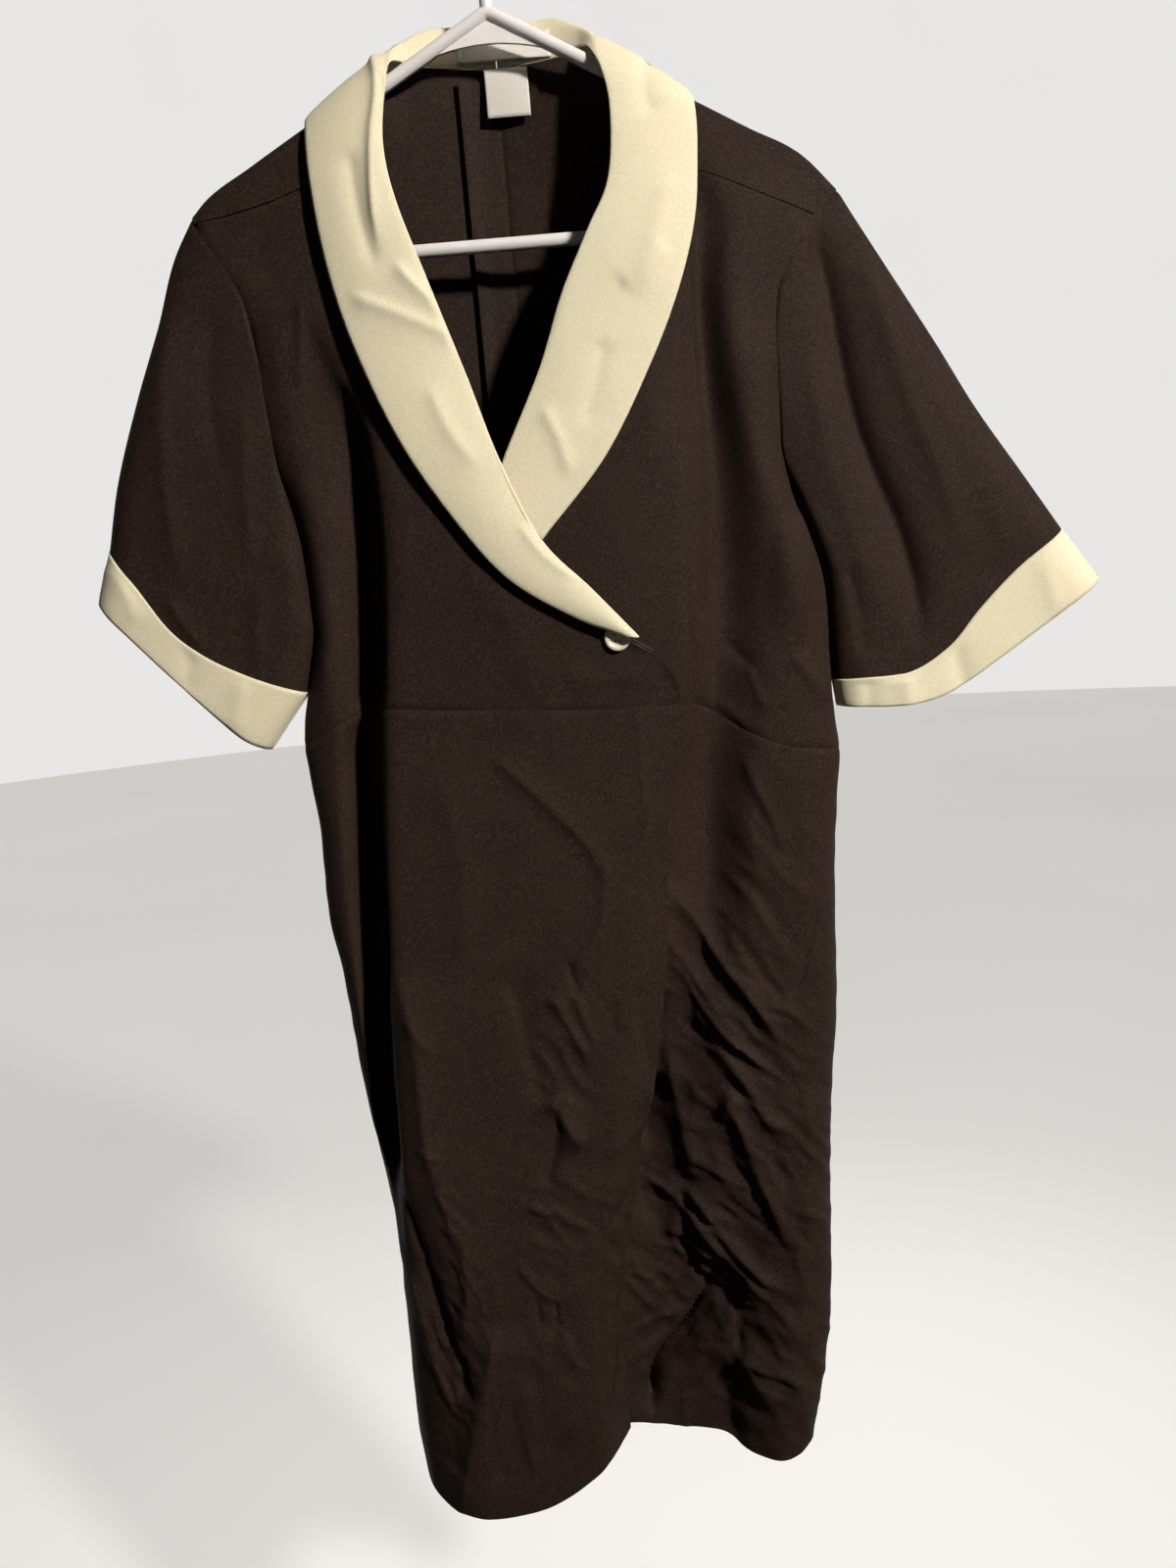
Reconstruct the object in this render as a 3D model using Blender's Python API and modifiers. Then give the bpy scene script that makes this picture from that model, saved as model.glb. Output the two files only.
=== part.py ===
"""A short-sleeved wrap dress for table service, hung on a moulded hanger.

The dress hangs flat and open at the neck, with its front towards -Y and the wearer's
right side at -X. The origin is the seat of the hanger's hook, and the hanger lies in
the plane y = 0. Tables and sizes are in millimetres; meshes are in metres.

A panel is a grid. Across it run rails, the lines that the cloth's section passes
through at every height, such as the valley and the crest of a deep fold. Down it run
rows, spaced between the seam at its top and the seam or hem at its bottom.
"""
import math
from collections import namedtuple

import bmesh
import bpy
import numpy as np

MM = 0.001
FRONT, BACK = -1, 1     # the way each face of the dress looks along Y

CLOTH = 1.6            # wall of the dress cloth
COLLAR_CLOTH = 2.0     # two layers and their interlining
CUFF_CLOTH = 2.4       # turned double
SEAM_GAP = 0.3         # between two pieces that are sewn together
ARMHOLE_GAP = 0.5      # the same at the armhole, where the cloth turns
CUFF_GAP = 0.8         # and between a sleeve and its cuff, which is thicker
WAIST_GAP = 0.6        # and at the waist, which crosses the folds
SIDE_GAP = 1.0         # each panel stops this far from the plane of the side seam

HANGER_RADIUS = 4.5    # round bar of the hanger
HANGER_SLOPE = 0.547   # fall of an arm for each millimetre outwards
APEX_AXIS = -71.0      # height of the arms' axis where they meet
ARM_REACH = 181.0      # where an arm starts to turn into its end
BAR_HEIGHT = -213.0    # axis of the trouser bar
ARM_WRAP = 6.8         # outer radius of the cloth over an arm
ARM_TURNS = (0, 30, 60, 90)   # rows of cloth over an arm, in degrees from its top
ARM_SLIDES = (0, 0.05, 0.15, 0.3)   # share of the shoulder's slide outward at each row

HOOK_RADIUS = 22.5     # centre line of the hook
HOOK_NECK = -50.0      # where the straight neck ends
HOOK_TIP_ANGLE = 212.0 # the hook ends here, in degrees from +X

WEB_THICKNESS = 2.6
WEB_REACH = 58.0       # the web meets an arm here
WEB_ARCH = -90.0       # top of the arch under the web

BUTTON_RADIUS = 9.0
BUTTON_CENTRE = (52.0, -478.0)
BUTTON_THICKNESS = 2.6
BUTTON_HOLE = 1.0
BUTTON_HOLE_SPACING = 1.9

NECK_LABEL = (62.0, 20.0, 0.7)
CARE_LABEL = (29.0, 31.0, 0.7)
LABEL_ACROSS = 9.0

PLEAT_CENTRE = 3.0     # where the two folds of the back pleat meet
PLEAT_REACH = 26.5     # the underlay runs this far to each side
UNDERLAY_STEP = 2.1    # from the back's outer face to the underlay's


def table(columns, *rows):
    """Name the columns of a short table, with one row for each section."""
    row_type = namedtuple("Row", columns)
    return [row_type(*row) for row in rows]


# ---- seams, read across the dress ------------------------------------------------------

RIDGE = table(
    "across height",      # top of the shoulders and the back neckline between them
    (-205.5, -180), (-195, -170), (-165, -153), (-122, -129.5), (-78, -106), (-57, -95),
    (3, -97), (57, -95), (78, -106), (122, -129.5), (165, -153.5), (200, -173), (222, -196))

SHOULDER_SEAM = table(
    "across height",      # sits forward of the ridge
    (-206, -187), (-157, -179), (-122, -168), (-78, -147), (-40, -129),
    (38, -133), (74, -150), (128, -179), (150, -189), (180, -202), (206, -213))

WAIST_FRONT = table(
    "across height",
    (-177, -538), (-112, -514), (-68, -518), (40, -526), (96, -528), (110, -532),
    (140, -552), (168, -564), (206, -571))

WAIST_BACK = table(
    "across height",
    (-177, -538), (-60, -531), (70, -536), (206, -571))

HEM_OVER = table(
    "across height",
    (-150, -1112), (-122, -1126), (-75, -1134), (-47, -1132), (-21, -1122), (16, -1099))

HEM_UNDER = table(
    "across height",
    (-35, -1104), (10, -1107), (50, -1116), (86, -1120), (102, -1127), (136, -1131),
    (162, -1128))

HEM_BACK = table(
    "across height",
    (-150, -1112), (-110, -1124), (-60, -1128), (60, -1122), (162, -1128))

# ---- sides: the plane of the side seam, and half the depth of the armhole above it ------

SIDE_RIGHT = table(
    "height across seam armhole",
    (-180, -205.5, 0, 0), (-187, -204, 0, 6.6), (-206, -193, 0, 12),
    (-232, -179, 0, 15), (-262, -173, 0, 16), (-310, -170, 0, 16),
    (-345, -167, 0, 14), (-362, -165, 0, 9), (-372, -164, 0, 0),
    (-400, -160, 0, 0), (-460, -159, 0, 0), (-500, -169, 0, 0),
    (-540, -176, 0, 0), (-600, -172.5, 0.5, 0), (-660, -174, 1, 0),
    (-710, -169, 1.5, 0), (-809, -163, 2, 0), (-883, -155, 2.5, 0),
    (-956, -149, 3, 0), (-1014, -149, 3.5, 0), (-1079, -153, 4, 0),
    (-1138, -147, 4, 0))
UNDERARM_RIGHT = -372.0

SIDE_LEFT = table(
    "height across seam armhole",
    (-196, 222, 0, 0), (-204, 213, 0, 6.6), (-213, 204, 0, 10),
    (-232, 192, 0, 14), (-262, 177, 0, 16), (-310, 174, 0, 16),
    (-358, 174, 0, 14), (-377, 178, 0, 9), (-387, 180, 0, 0),
    (-424, 194, 0, 0), (-455, 202, 0, 0), (-538, 204, 0, 0),
    (-573, 207, 0, 0), (-604, 204, 0.5, 0), (-653, 200, 1, 0),
    (-768, 196, 1.5, 0), (-850, 188, 2, 0), (-932, 184, 2.5, 0),
    (-997, 182, 3, 0), (-1055, 176, 3.5, 0), (-1096, 168, 4, 0),
    (-1134, 160, 4, 0))
UNDERARM_LEFT = -387.0

# ---- sections of the body: (across, forward) of each rail ------------------------------

# wearer's right front, which laps over; a deep fold runs down it beside the collar
FRONT_RIGHT = table(
    "height strip valley crest plane border edge",
    (-147, (-158, -9), (-140, -10), (-128, -11), (-112, -11), (-96, -12), (-78, -12)),
    (-187, (-180, -11), (-156, -13), (-140, -14), (-115, -15), (-92, -16), (-72, -17)),
    (-250, (-160, -19), (-140, -20), (-126, -22), (-104, -23), (-80, -24), (-56, -25)),
    (-310, (-154, -20), (-122, -18), (-108, -26), (-88, -28), (-62, -29), (-36, -30)),
    (-384, (-148, -17), (-114, -9), (-100, -29), (-80, -33), (-40, -38.5), (-8, -40)),
    (-450, (-146, -16), (-118, -7), (-105, -30), (-84, -34), (0, -39.5), (38, -39.5)),
    (-520, (-150, -16), (-126, -6), (-112, -31), (-92, -34), (54, -35.5), (92, -34)),
    (-600, (-155, -15), (-135, -5), (-121, -33), (-100, -36), (48, -38), (79, -35)),
    (-700, (-157, -14), (-144, -4), (-131, -36), (-110, -40), (38, -41), (70, -36)),
    (-800, (-157, -13), (-150, -6), (-139, -38), (-118, -43), (26, -45), (54, -38)),
    (-840, (-155, -13), (-149, -12), (-139, -40), (-115, -45), (18, -46), (42, -34)),
    (-880, (-152, -14), (-148, -22), (-138, -41), (-112, -47), (10, -47), (36, -31)),
    (-960, (-147, -17), (-140, -33), (-124, -42), (-97, -49), (-3, -47), (20, -22)),
    (-1040, (-149, -18), (-138, -34), (-113, -44), (-90, -51), (-7, -46), (14, -16)),
    (-1138, (-144, -20), (-137, -36), (-120, -49), (-95, -54), (-14, -34), (16, -6)))

# wearer's left front, which lies under; its inner edge is hidden by the other front
FRONT_LEFT = table(
    "height edge wall trough rise lobe",
    (-150, (74, -12), (100, -12), (112, -11), (124, -11), (138, -11)),
    (-213, (62, -20), (112, -19), (129, -12), (148, -17), (178, -14)),
    (-262, (33, -23), (106, -24), (124, -11), (142, -21), (160, -19)),
    (-320, (8, -27), (100, -28), (125, -12), (146, -24), (161, -21)),
    (-387, (-30, -29), (98, -30), (128, -12), (156, -23), (170, -17)),
    (-455, (-52, -30), (94, -30), (127, -9), (162, -21), (188, -17)),
    (-530, (-56, -29), (84, -28), (116, -10), (155, -21), (190, -17)),
    (-600, (-50, -31), (62, -29), (108, -6), (142, -21), (188, -19)),
    (-700, (-45, -33), (52, -30), (98, -8), (134, -22), (182, -21)),
    (-800, (-40, -34), (35, -28), (68, -3), (120, -18), (175, -22)),
    (-880, (-35, -32), (18, -20), (55, 4), (105, -14), (168, -23)),
    (-960, (-35, -24), (0, -10), (50, 6), (95, -8), (158, -24)),
    (-1040, (-35, -18), (0, -4), (50, 8), (88, -2), (148, -24)),
    (-1134, (-35, -10), (4, 5), (50, 10), (84, 5), (132, -22)))

# right and left halves of the back, which meet at the pleat
BACK_RIGHT = table(
    "height round blade neck centre",
    (-95, (-160, 9), (-125, 10), (-78, 10), (2.4, 24)),
    (-180, (-184, 12), (-132, 17), (-74, 22), (2.4, 28)),
    (-262, (-158, 22), (-118, 26), (-66, 29), (2.4, 31)),
    (-372, (-150, 18), (-114, 27), (-64, 31), (2.4, 32)),
    (-450, (-148, 17), (-112, 26), (-64, 30), (2.4, 31)),
    (-540, (-160, 16), (-116, 25), (-62, 28), (2.4, 29)))

BACK_LEFT = table(
    "height round blade neck centre",
    (-95, (160, 9), (125, 10), (78, 10), (3.6, 24)),
    (-196, (196, 12), (138, 17), (76, 22), (3.6, 28)),
    (-262, (162, 22), (122, 26), (70, 29), (3.6, 31)),
    (-387, (164, 18), (122, 27), (70, 31), (3.6, 32)),
    (-455, (186, 17), (128, 26), (72, 30), (3.6, 31)),
    (-571, (188, 16), (130, 25), (72, 28), (3.6, 29)))

SKIRT_BACK = table(
    "height round_right fold_right middle fold_left round_left",
    (-530, (-158, 16), (-70, 27), (10, 29), (96, 27), (186, 16)),
    (-640, (-158, 20), (-66, 27), (8, 31), (90, 27), (184, 20)),
    (-800, (-146, 27), (-62, 26), (4, 34), (84, 27), (172, 26)),
    (-960, (-134, 31), (-62, 24), (0, 37), (76, 26), (162, 31)),
    (-1135, (-128, 36), (-66, 24), (0, 41), (70, 27), (140, 36)))

# ---- sleeves and cuffs: outlines seen from the front -----------------------------------

SLEEVE_RIGHT = dict(
    outer=[(-205.5, -180), (-222, -207), (-238, -247), (-259, -293), (-281, -348), (-293, -391)],
    inner=[(-164, -372), (-164, -420), (-165, -455), (-169, -478), (-173, -501)],
    wrist=[(-293, -391), (-275, -416), (-254, -450), (-233, -469), (-205, -485), (-173, -501)],
    hem=[(-306, -425), (-284, -451), (-262, -477), (-228, -515), (-214, -529), (-199, -539)])

SLEEVE_LEFT = dict(
    outer=[(222, -196), (253, -247), (286, -301), (310, -342), (343, -391), (369, -430)],
    inner=[(180, -387), (199, -424), (208, -455), (213, -485), (214, -522)],
    wrist=[(369, -430), (335, -453), (306, -480), (282, -506), (250, -521), (214, -522)],
    hem=[(395, -466), (352, -494), (318, -516), (280, -538), (246, -543), (210, -541)])
SLEEVE_DEPTH = 17.0    # half the depth of the hanging tube
SLEEVE_ROUND = 24.0    # length over which a folded edge rounds
CUFF_LENGTH = 36.0
CUFF_PROUD = 0.9       # the cuff's outer face stands this far off the sleeve's

# ---- collar: roll line, outer edge and the seam that joins it to the neck --------------

COLLAR_RIGHT = table(
    "roll edge seam",
    ((2.6, 31, -62), (2.6, 41, -112), (2.6, 20, -96)),
    ((-34, 28, -62), (-44, 38, -115), (-32, 18, -95)),
    ((-57, 16, -75), (-92, 26, -124), (-54, 10, -93)),
    ((-65, 1, -88), (-122, -1, -125), (-61, 2, -94)),
    ((-66, -14, -106), (-124, -13, -138), (-67, -13, -107)),
    ((-71, -25, -150), (-123, -22, -172), (-76, -20, -152)),
    ((-66, -31, -188), (-117, -29, -225), (-71, -26, -190)),
    ((-49, -35, -243), (-104, -36, -278), (-54, -30, -246)),
    ((-31, -37, -300), (-81, -41, -338), (-36, -34, -304)),
    ((-15, -43, -354), (-51, -44, -390), (-19, -41, -358)),
    ((8, -45, -408), (-18, -45.5, -433), (3, -43, -411)),
    ((38, -45.5, -443), (24, -46, -462), (36, -44, -446)),
    ((67, -45, -478), (58, -45, -478.5), (66, -44, -478)))

COLLAR_LEFT = table(
    "roll edge seam",
    ((3.4, 31, -62), (3.4, 41, -112), (3.4, 20, -96)),
    ((38, 28, -62), (50, 38, -116), (36, 18, -95)),
    ((58, 16, -74), (98, 25, -123), (54, 10, -93)),
    ((67, 1, -87), (126, -1, -127), (61, 2, -94)),
    ((70, -15, -110), (130, -15, -144), (68, -13, -108)),
    ((73, -23, -140), (129, -20, -170), (76, -19, -142)),
    ((68, -29, -184), (124, -26, -212), (72, -24, -188)),
    ((52, -32, -215), (110, -32, -256), (56, -27, -219)),
    ((32, -33, -253), (88, -34, -302), (36, -28, -257)),
    ((14, -34, -298), (54, -35, -358), (17, -30, -302)),
    ((-13, -34.2, -350), (12, -34, -404), (-10, -32.2, -354)),
    ((-26, -33.4, -378), (-6, -33.4, -424), (-24, -31.9, -382)))
FALL_CROWN = 2.5       # the fall arches this far off its chord


# ---- small tools -----------------------------------------------------------------------

def clear_scene():
    for thing in list(bpy.data.objects):
        bpy.data.objects.remove(thing, do_unlink=True)


def follow(rows, by, column, at):
    """Read a column anywhere between the rows of a table, on one smooth line."""
    rows = sorted(rows, key=lambda row: getattr(row, by))
    place = np.array([getattr(row, by) for row in rows], float)
    value = np.array([getattr(row, column) for row in rows], float)
    at = np.clip(np.asarray(at, float), place[0], place[-1])
    step = np.diff(place)
    wide = step.reshape((-1,) + (1,) * (value.ndim - 1))
    rise = np.diff(value, axis=0) / wide
    slope = np.concatenate((rise[:1], (rise[1:] + rise[:-1]) / 2, rise[-1:]))
    turning = rise[1:] * rise[:-1] <= 0
    slope[1:-1][turning] = 0
    limit = 3 * np.minimum(np.abs(rise[1:]), np.abs(rise[:-1]))
    slope[1:-1] = np.clip(slope[1:-1], -limit, limit)
    index = np.clip(np.searchsorted(place, at) - 1, 0, len(step) - 1)
    t = (at - place[index]) / step[index]
    gap = step[index]
    if value.ndim > 1:
        t = t[..., None]
        gap = gap[..., None]
    return (value[index] * (1 + 2 * t) * (1 - t) ** 2 + slope[index] * gap * t * (1 - t) ** 2
            + value[index + 1] * t * t * (3 - 2 * t) - slope[index + 1] * gap * t * t * (1 - t))


def seam_line(rows):
    """A seam as a function from across to height."""
    return lambda across: follow(rows, "across", "height", across)


def ease(t):
    t = np.clip(t, 0, 1)
    return t * t * (3 - 2 * t)


def quarter(t):
    """Rise of a quarter circle, from 0 at its side to 1 at its top."""
    t = np.clip(t, 0, 1)
    return np.sqrt(1 - (1 - t) ** 2)


def turned_in(heading, side):
    """Heading at a side seam: along Y where the side lies in the seam's plane."""
    turn = ease(1.3 - np.abs(side[..., 1:]) / 8)
    toward = np.zeros_like(heading)
    toward[..., 1] = np.sign(heading[..., 1])
    mixed = heading * (1 - turn) + toward * turn
    return mixed / np.linalg.norm(mixed, axis=-1, keepdims=True)


def weave_rails(rails, places, first_turned, last_turned):
    """Pass each section smoothly through its rails; a side seam is rounded, an edge is not."""
    chord = np.linalg.norm(np.diff(rails, axis=0), axis=-1, keepdims=True)
    heading = np.diff(rails, axis=0) / np.maximum(chord, 1e-6)
    inner = (heading[:-1] * chord[:-1] + heading[1:] * chord[1:]) / (chord[1:] + chord[:-1])
    first = turned_in(heading[:1], rails[:1]) if first_turned else heading[:1]
    last = turned_in(heading[-1:], rails[-1:]) if last_turned else heading[-1:]
    tangent = np.concatenate((first, inner, last))
    index = np.clip(np.floor(places).astype(int), 0, len(rails) - 2)
    t = (places - index)[None, :, None]
    column = np.arange(len(places))
    rows = np.arange(rails.shape[1])[:, None]
    start, end = rails[index[None, :], rows, column], rails[index[None, :] + 1, rows, column]
    leave, arrive = tangent[index[None, :], rows, column], tangent[index[None, :] + 1, rows, column]
    length = chord[index[None, :], rows, column]
    return (start * (1 + 2 * t) * (1 - t) ** 2 + leave * length * t * (1 - t) ** 2
            + end * t * t * (3 - 2 * t) - arrive * length * t * t * (1 - t))


def panel(readers, cells, top, bottom, shares, turned):
    """Grid of points: a column for each cell between rails, a row for each share down."""
    places = np.concatenate([rail + np.arange(count) / count for rail, count in enumerate(cells)]
                            + [[len(cells)]])
    shares = np.asarray(shares)[:, None]
    height = np.linspace(-200, -900, len(shares))[:, None] * np.ones(len(places))
    for _ in range(12):
        rails = np.stack([reader(height) for reader in readers])
        section = weave_rails(rails, places, *turned)
        upper, lower = top(section[..., 0]), bottom(section[..., 0])
        height = upper + (lower - upper) * shares
    return np.concatenate((section, height[..., None]), axis=-1)


def rail_readers(rows, columns):
    return [lambda height, column=column: follow(rows, "height", column, height)
            for column in columns]


def side_reader(rows, face):
    """The side of a panel: around the armhole, then just short of the side seam's plane."""
    return lambda height: np.stack(
        (follow(rows, "height", "across", height),
         follow(rows, "height", "seam", height)
         + face * np.maximum(follow(rows, "height", "armhole", height), SIDE_GAP)), axis=-1)


def shifted(line, gap):
    return lambda across: line(across) + gap


def path_through(points, t):
    """Points at shares t of the way along a smooth path through a few points."""
    points = np.array(points, float)
    along = np.concatenate(([0], np.cumsum(np.linalg.norm(np.diff(points, axis=0), axis=1))))
    rows = [namedtuple("Stop", "way spot")(way, tuple(spot)) for way, spot in zip(along, points)]
    return follow(rows, "way", "spot", np.asarray(t) * along[-1])


# ---- meshes ----------------------------------------------------------------------------

def new_material(name, colour, roughness):
    material = bpy.data.materials.new(name)
    material.use_nodes = True
    shader = material.node_tree.nodes["Principled BSDF"]
    shader.inputs["Base Color"].default_value = (*colour, 1.0)
    shader.inputs["Roughness"].default_value = roughness
    shader.inputs["Metallic"].default_value = 0.0
    return material


def grid_faces(mesh, grid, closed_across=False):
    """Add a grid of points to a bmesh as four-sided faces."""
    vertices = [[mesh.verts.new(tuple(point * MM)) for point in row] for row in grid]
    columns = grid.shape[1]
    for upper, lower in zip(vertices[:-1], vertices[1:]):
        for index in range(columns if closed_across else columns - 1):
            after = (index + 1) % columns
            mesh.faces.new((upper[index], upper[after], lower[after], lower[index]))


def wall(name, grids, thickness, material, collection, closed_across=False, flip=False):
    """Turn grids that share their borders into one cloth wall of a given thickness."""
    mesh = bmesh.new()
    for grid in grids:
        grid_faces(mesh, grid, closed_across)
    bmesh.ops.remove_doubles(mesh, verts=mesh.verts, dist=0.02 * MM)
    if flip:
        bmesh.ops.reverse_faces(mesh, faces=mesh.faces)
    data = bpy.data.meshes.new(name)
    mesh.to_mesh(data)
    mesh.free()
    piece = bpy.data.objects.new(name, data)
    collection.objects.link(piece)
    data.materials.append(material)
    shell = piece.modifiers.new("wall", "SOLIDIFY")
    shell.thickness = thickness * MM
    shell.offset = -1.0
    return piece


# ---- body panels -----------------------------------------------------------------------

def split_rows(above, below, share):
    """Row shares with one row exactly at the underarm."""
    return np.concatenate((np.linspace(0, share, above + 1), np.linspace(share, 1, below + 1)[1:]))


def underarm_share(top, bottom, underarm, across):
    upper, lower = float(top(across)), float(bottom(across))
    return (upper - underarm) / (upper - lower)


ROWS_TO_UNDERARM = 7
ROWS_TO_WAIST = 5
ROWS_TO_HEM = 12
OVER_COLUMNS = ["strip", "valley", "crest", "plane", "border", "edge"]
UNDER_COLUMNS = ["edge", "wall", "trough", "rise", "lobe"]
BACK_COLUMNS = ["round", "blade", "neck", "centre"]
OVER_CELLS = (2, 2, 2, 2, 4, 2)
UNDER_CELLS = (4, 3, 2, 2, 2)
BACK_CELLS = (2, 2, 2, 3)
SKIRT_BACK_CELLS = (2, 3, 3, 3, 3, 2)


def over_front():
    """Bodice and skirt grids of the wearer's right front."""
    readers = [side_reader(SIDE_RIGHT, FRONT)] + rail_readers(FRONT_RIGHT, OVER_COLUMNS)
    shoulder = shifted(seam_line(SHOULDER_SEAM), -SEAM_GAP)
    waist, hem = seam_line(WAIST_FRONT), seam_line(HEM_OVER)
    share = underarm_share(shoulder, waist, UNDERARM_RIGHT, -205)
    shares = split_rows(ROWS_TO_UNDERARM, ROWS_TO_WAIST, share)
    bodice = panel(readers, OVER_CELLS, shoulder, waist, shares, (True, False))
    skirt = panel(readers, OVER_CELLS, shifted(waist, -WAIST_GAP), hem,
                  np.linspace(0, 1, ROWS_TO_HEM + 1), (True, False))
    return bodice, skirt


def under_front():
    """Bodice and skirt grids of the wearer's left front."""
    readers = rail_readers(FRONT_LEFT, UNDER_COLUMNS) + [side_reader(SIDE_LEFT, FRONT)]
    shoulder = shifted(seam_line(SHOULDER_SEAM), -SEAM_GAP)
    waist, hem = seam_line(WAIST_FRONT), seam_line(HEM_UNDER)
    share = underarm_share(shoulder, waist, UNDERARM_LEFT, 206)
    shares = split_rows(ROWS_TO_UNDERARM, ROWS_TO_WAIST, share)
    bodice = panel(readers, UNDER_CELLS, shoulder, waist, shares, (False, True))
    skirt = panel(readers, UNDER_CELLS, shifted(waist, -WAIST_GAP), hem,
                  np.linspace(0, 1, ROWS_TO_HEM + 1), (False, True))
    return bodice, skirt


def over_the_arm(grid):
    """Round the top of a back half over the hanger's arm, and leave the neckline free."""
    across, depth, height = grid[..., 0], grid[..., 1], grid[..., 2]
    drop = follow(RIDGE, "across", "height", across) - height
    on_arm = ARM_WRAP * quarter(drop / ARM_WRAP) + (depth - ARM_WRAP) * ease(drop / 55)
    free = 1 - ease((np.abs(across) - 57) / (78 - 57))
    grid[..., 1] = on_arm + (depth - on_arm) * free
    return grid


def shoulder_flap(ridge_row, front_row):
    """The part of the back that passes over the arm to the forward shoulder seam."""
    outer = ridge_row[0, 0]
    order = np.argsort(front_row[:, 0])
    reach = front_row[np.argmax(np.abs(front_row[:, 0])), 0]
    slide = (reach - outer) * ease((np.abs(ridge_row[:, 0]) - 160) / (abs(outer) - 160))
    across = ridge_row[:, 0] + slide
    seam_depth = -np.interp(across, front_row[order, 0], front_row[order, 1])
    seam_height = follow(SHOULDER_SEAM, "across", "height", across) + SEAM_GAP
    wrap = np.minimum(ARM_WRAP, (ridge_row[:, 2] - seam_height) * 0.8)
    rows = []
    for angle, moved in zip(ARM_TURNS, ARM_SLIDES):
        turn = math.radians(angle)
        forward = np.minimum(ARM_WRAP, seam_depth) * math.sin(turn)
        rows.append(np.stack((ridge_row[:, 0] + slide * moved,
                              ridge_row[:, 1] * math.cos(turn) - forward,
                              ridge_row[:, 2] - wrap * (1 - math.cos(turn))), axis=-1))
    seam = np.stack((across, -seam_depth, seam_height), axis=-1)
    return np.array(rows + [(rows[-1] + seam) / 2, seam])


def back_half(sections, sides, underarm, outer, front_row):
    """Grid of a back half, from its side to the pleat, and its flap over the shoulder."""
    readers = [side_reader(sides, BACK)] + rail_readers(sections, BACK_COLUMNS)
    ridge, waist = seam_line(RIDGE), seam_line(WAIST_BACK)
    share = underarm_share(ridge, waist, underarm, outer)
    shares = split_rows(ROWS_TO_UNDERARM, ROWS_TO_WAIST, share)
    wrapped = [ARM_WRAP * (1 - math.cos(math.radians(angle))) / 400 for angle in ARM_TURNS]
    shares = np.concatenate((wrapped, shares[1:]))
    grid = over_the_arm(panel(readers, BACK_CELLS, ridge, waist, shares, (True, False)))
    on_shoulder = sum(BACK_CELLS[:3]) + 1
    flap = shoulder_flap(grid[0, :on_shoulder], front_row)
    return grid, flap


def back_skirt():
    columns = ["round_right", "fold_right", "middle", "fold_left", "round_left"]
    readers = ([side_reader(SIDE_RIGHT, BACK)] + rail_readers(SKIRT_BACK, columns)
               + [side_reader(SIDE_LEFT, BACK)])
    waist, hem = seam_line(WAIST_BACK), seam_line(HEM_BACK)
    return panel(readers, SKIRT_BACK_CELLS, shifted(waist, -WAIST_GAP), hem,
                 np.linspace(0, 1, ROWS_TO_HEM + 1), (True, True))


def pleat_underlay(right, left):
    """Strip behind the two meeting folds of the back, made from the back's own points."""
    across = PLEAT_CENTRE + np.linspace(-PLEAT_REACH, PLEAT_REACH, 7)
    rows = []
    for right_row, left_row in zip(right[len(ARM_TURNS) - 1:], left[len(ARM_TURNS) - 1:]):
        back = np.concatenate((right_row, left_row[::-1]))
        depth = np.interp(across, back[:, 0], back[:, 1]) - UNDERLAY_STEP
        height = np.interp(across, back[:, 0], back[:, 2])
        rows.append(np.stack((across, depth, height), axis=-1))
    return np.array(rows)


# ---- sleeves ---------------------------------------------------------------------------

def share_along(points):
    run = np.concatenate(([0], np.cumsum(np.linalg.norm(np.diff(points, axis=0), axis=1))))
    return run / run[-1]


def folded_depth(share, length):
    """Depth of a flattened tube: full in the middle, rounded at its two folded edges."""
    return quarter(share * length / SLEEVE_ROUND) * quarter((1 - share) * length / SLEEVE_ROUND)


def sleeve_face(armhole, outline, shares_down, face):
    """One face of a sleeve, spanned between its armhole, outer edge, inner edge and wrist."""
    start = armhole[:, [0, 2]]
    around = share_along(start)
    wrist = path_through(outline["wrist"], around)
    shoulder, underarm = np.array(outline["outer"][0]), np.array(outline["inner"][0])
    rows = []
    for share in shares_down:
        outer = path_through(outline["outer"], share)
        inner = path_through(outline["inner"], share)
        column = around[:, None]
        seen = ((1 - share) * start + share * wrist + (1 - column) * outer + column * inner
                - (1 - share) * ((1 - column) * shoulder + column * underarm)
                - share * ((1 - column) * wrist[0] + column * wrist[-1]))
        length = np.linalg.norm(outer - inner)
        hanging = face * SLEEVE_DEPTH * folded_depth(around, length)
        blend = ease(share / 0.5)
        depth = armhole[:, 1] * (1 - blend) + hanging * blend
        rows.append(np.stack((seen[:, 0], depth, seen[:, 1]), axis=-1))
    return np.array(rows)


def cuff_face(around, outline, face):
    start = path_through(outline["wrist"], around)
    end = path_through(outline["hem"], around)
    length = np.linalg.norm(start[0] - start[-1])
    depth = face * (SLEEVE_DEPTH * folded_depth(around, length) + CUFF_PROUD)
    rows = []
    for share in np.linspace(CUFF_GAP / CUFF_LENGTH, 1, 4):
        seen = start + (end - start) * share
        rows.append(np.stack((seen[:, 0], depth, seen[:, 1]), axis=-1))
    return np.array(rows)


def tube(front, back):
    """Join a front face and a back face, whose borders meet, into rings."""
    return np.concatenate((front, back[:, -2:0:-1]), axis=1)


SLEEVE_ROWS = 7
SLEEVE_START = 0.007   # share of the sleeve's length left free for the armhole seam


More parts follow.
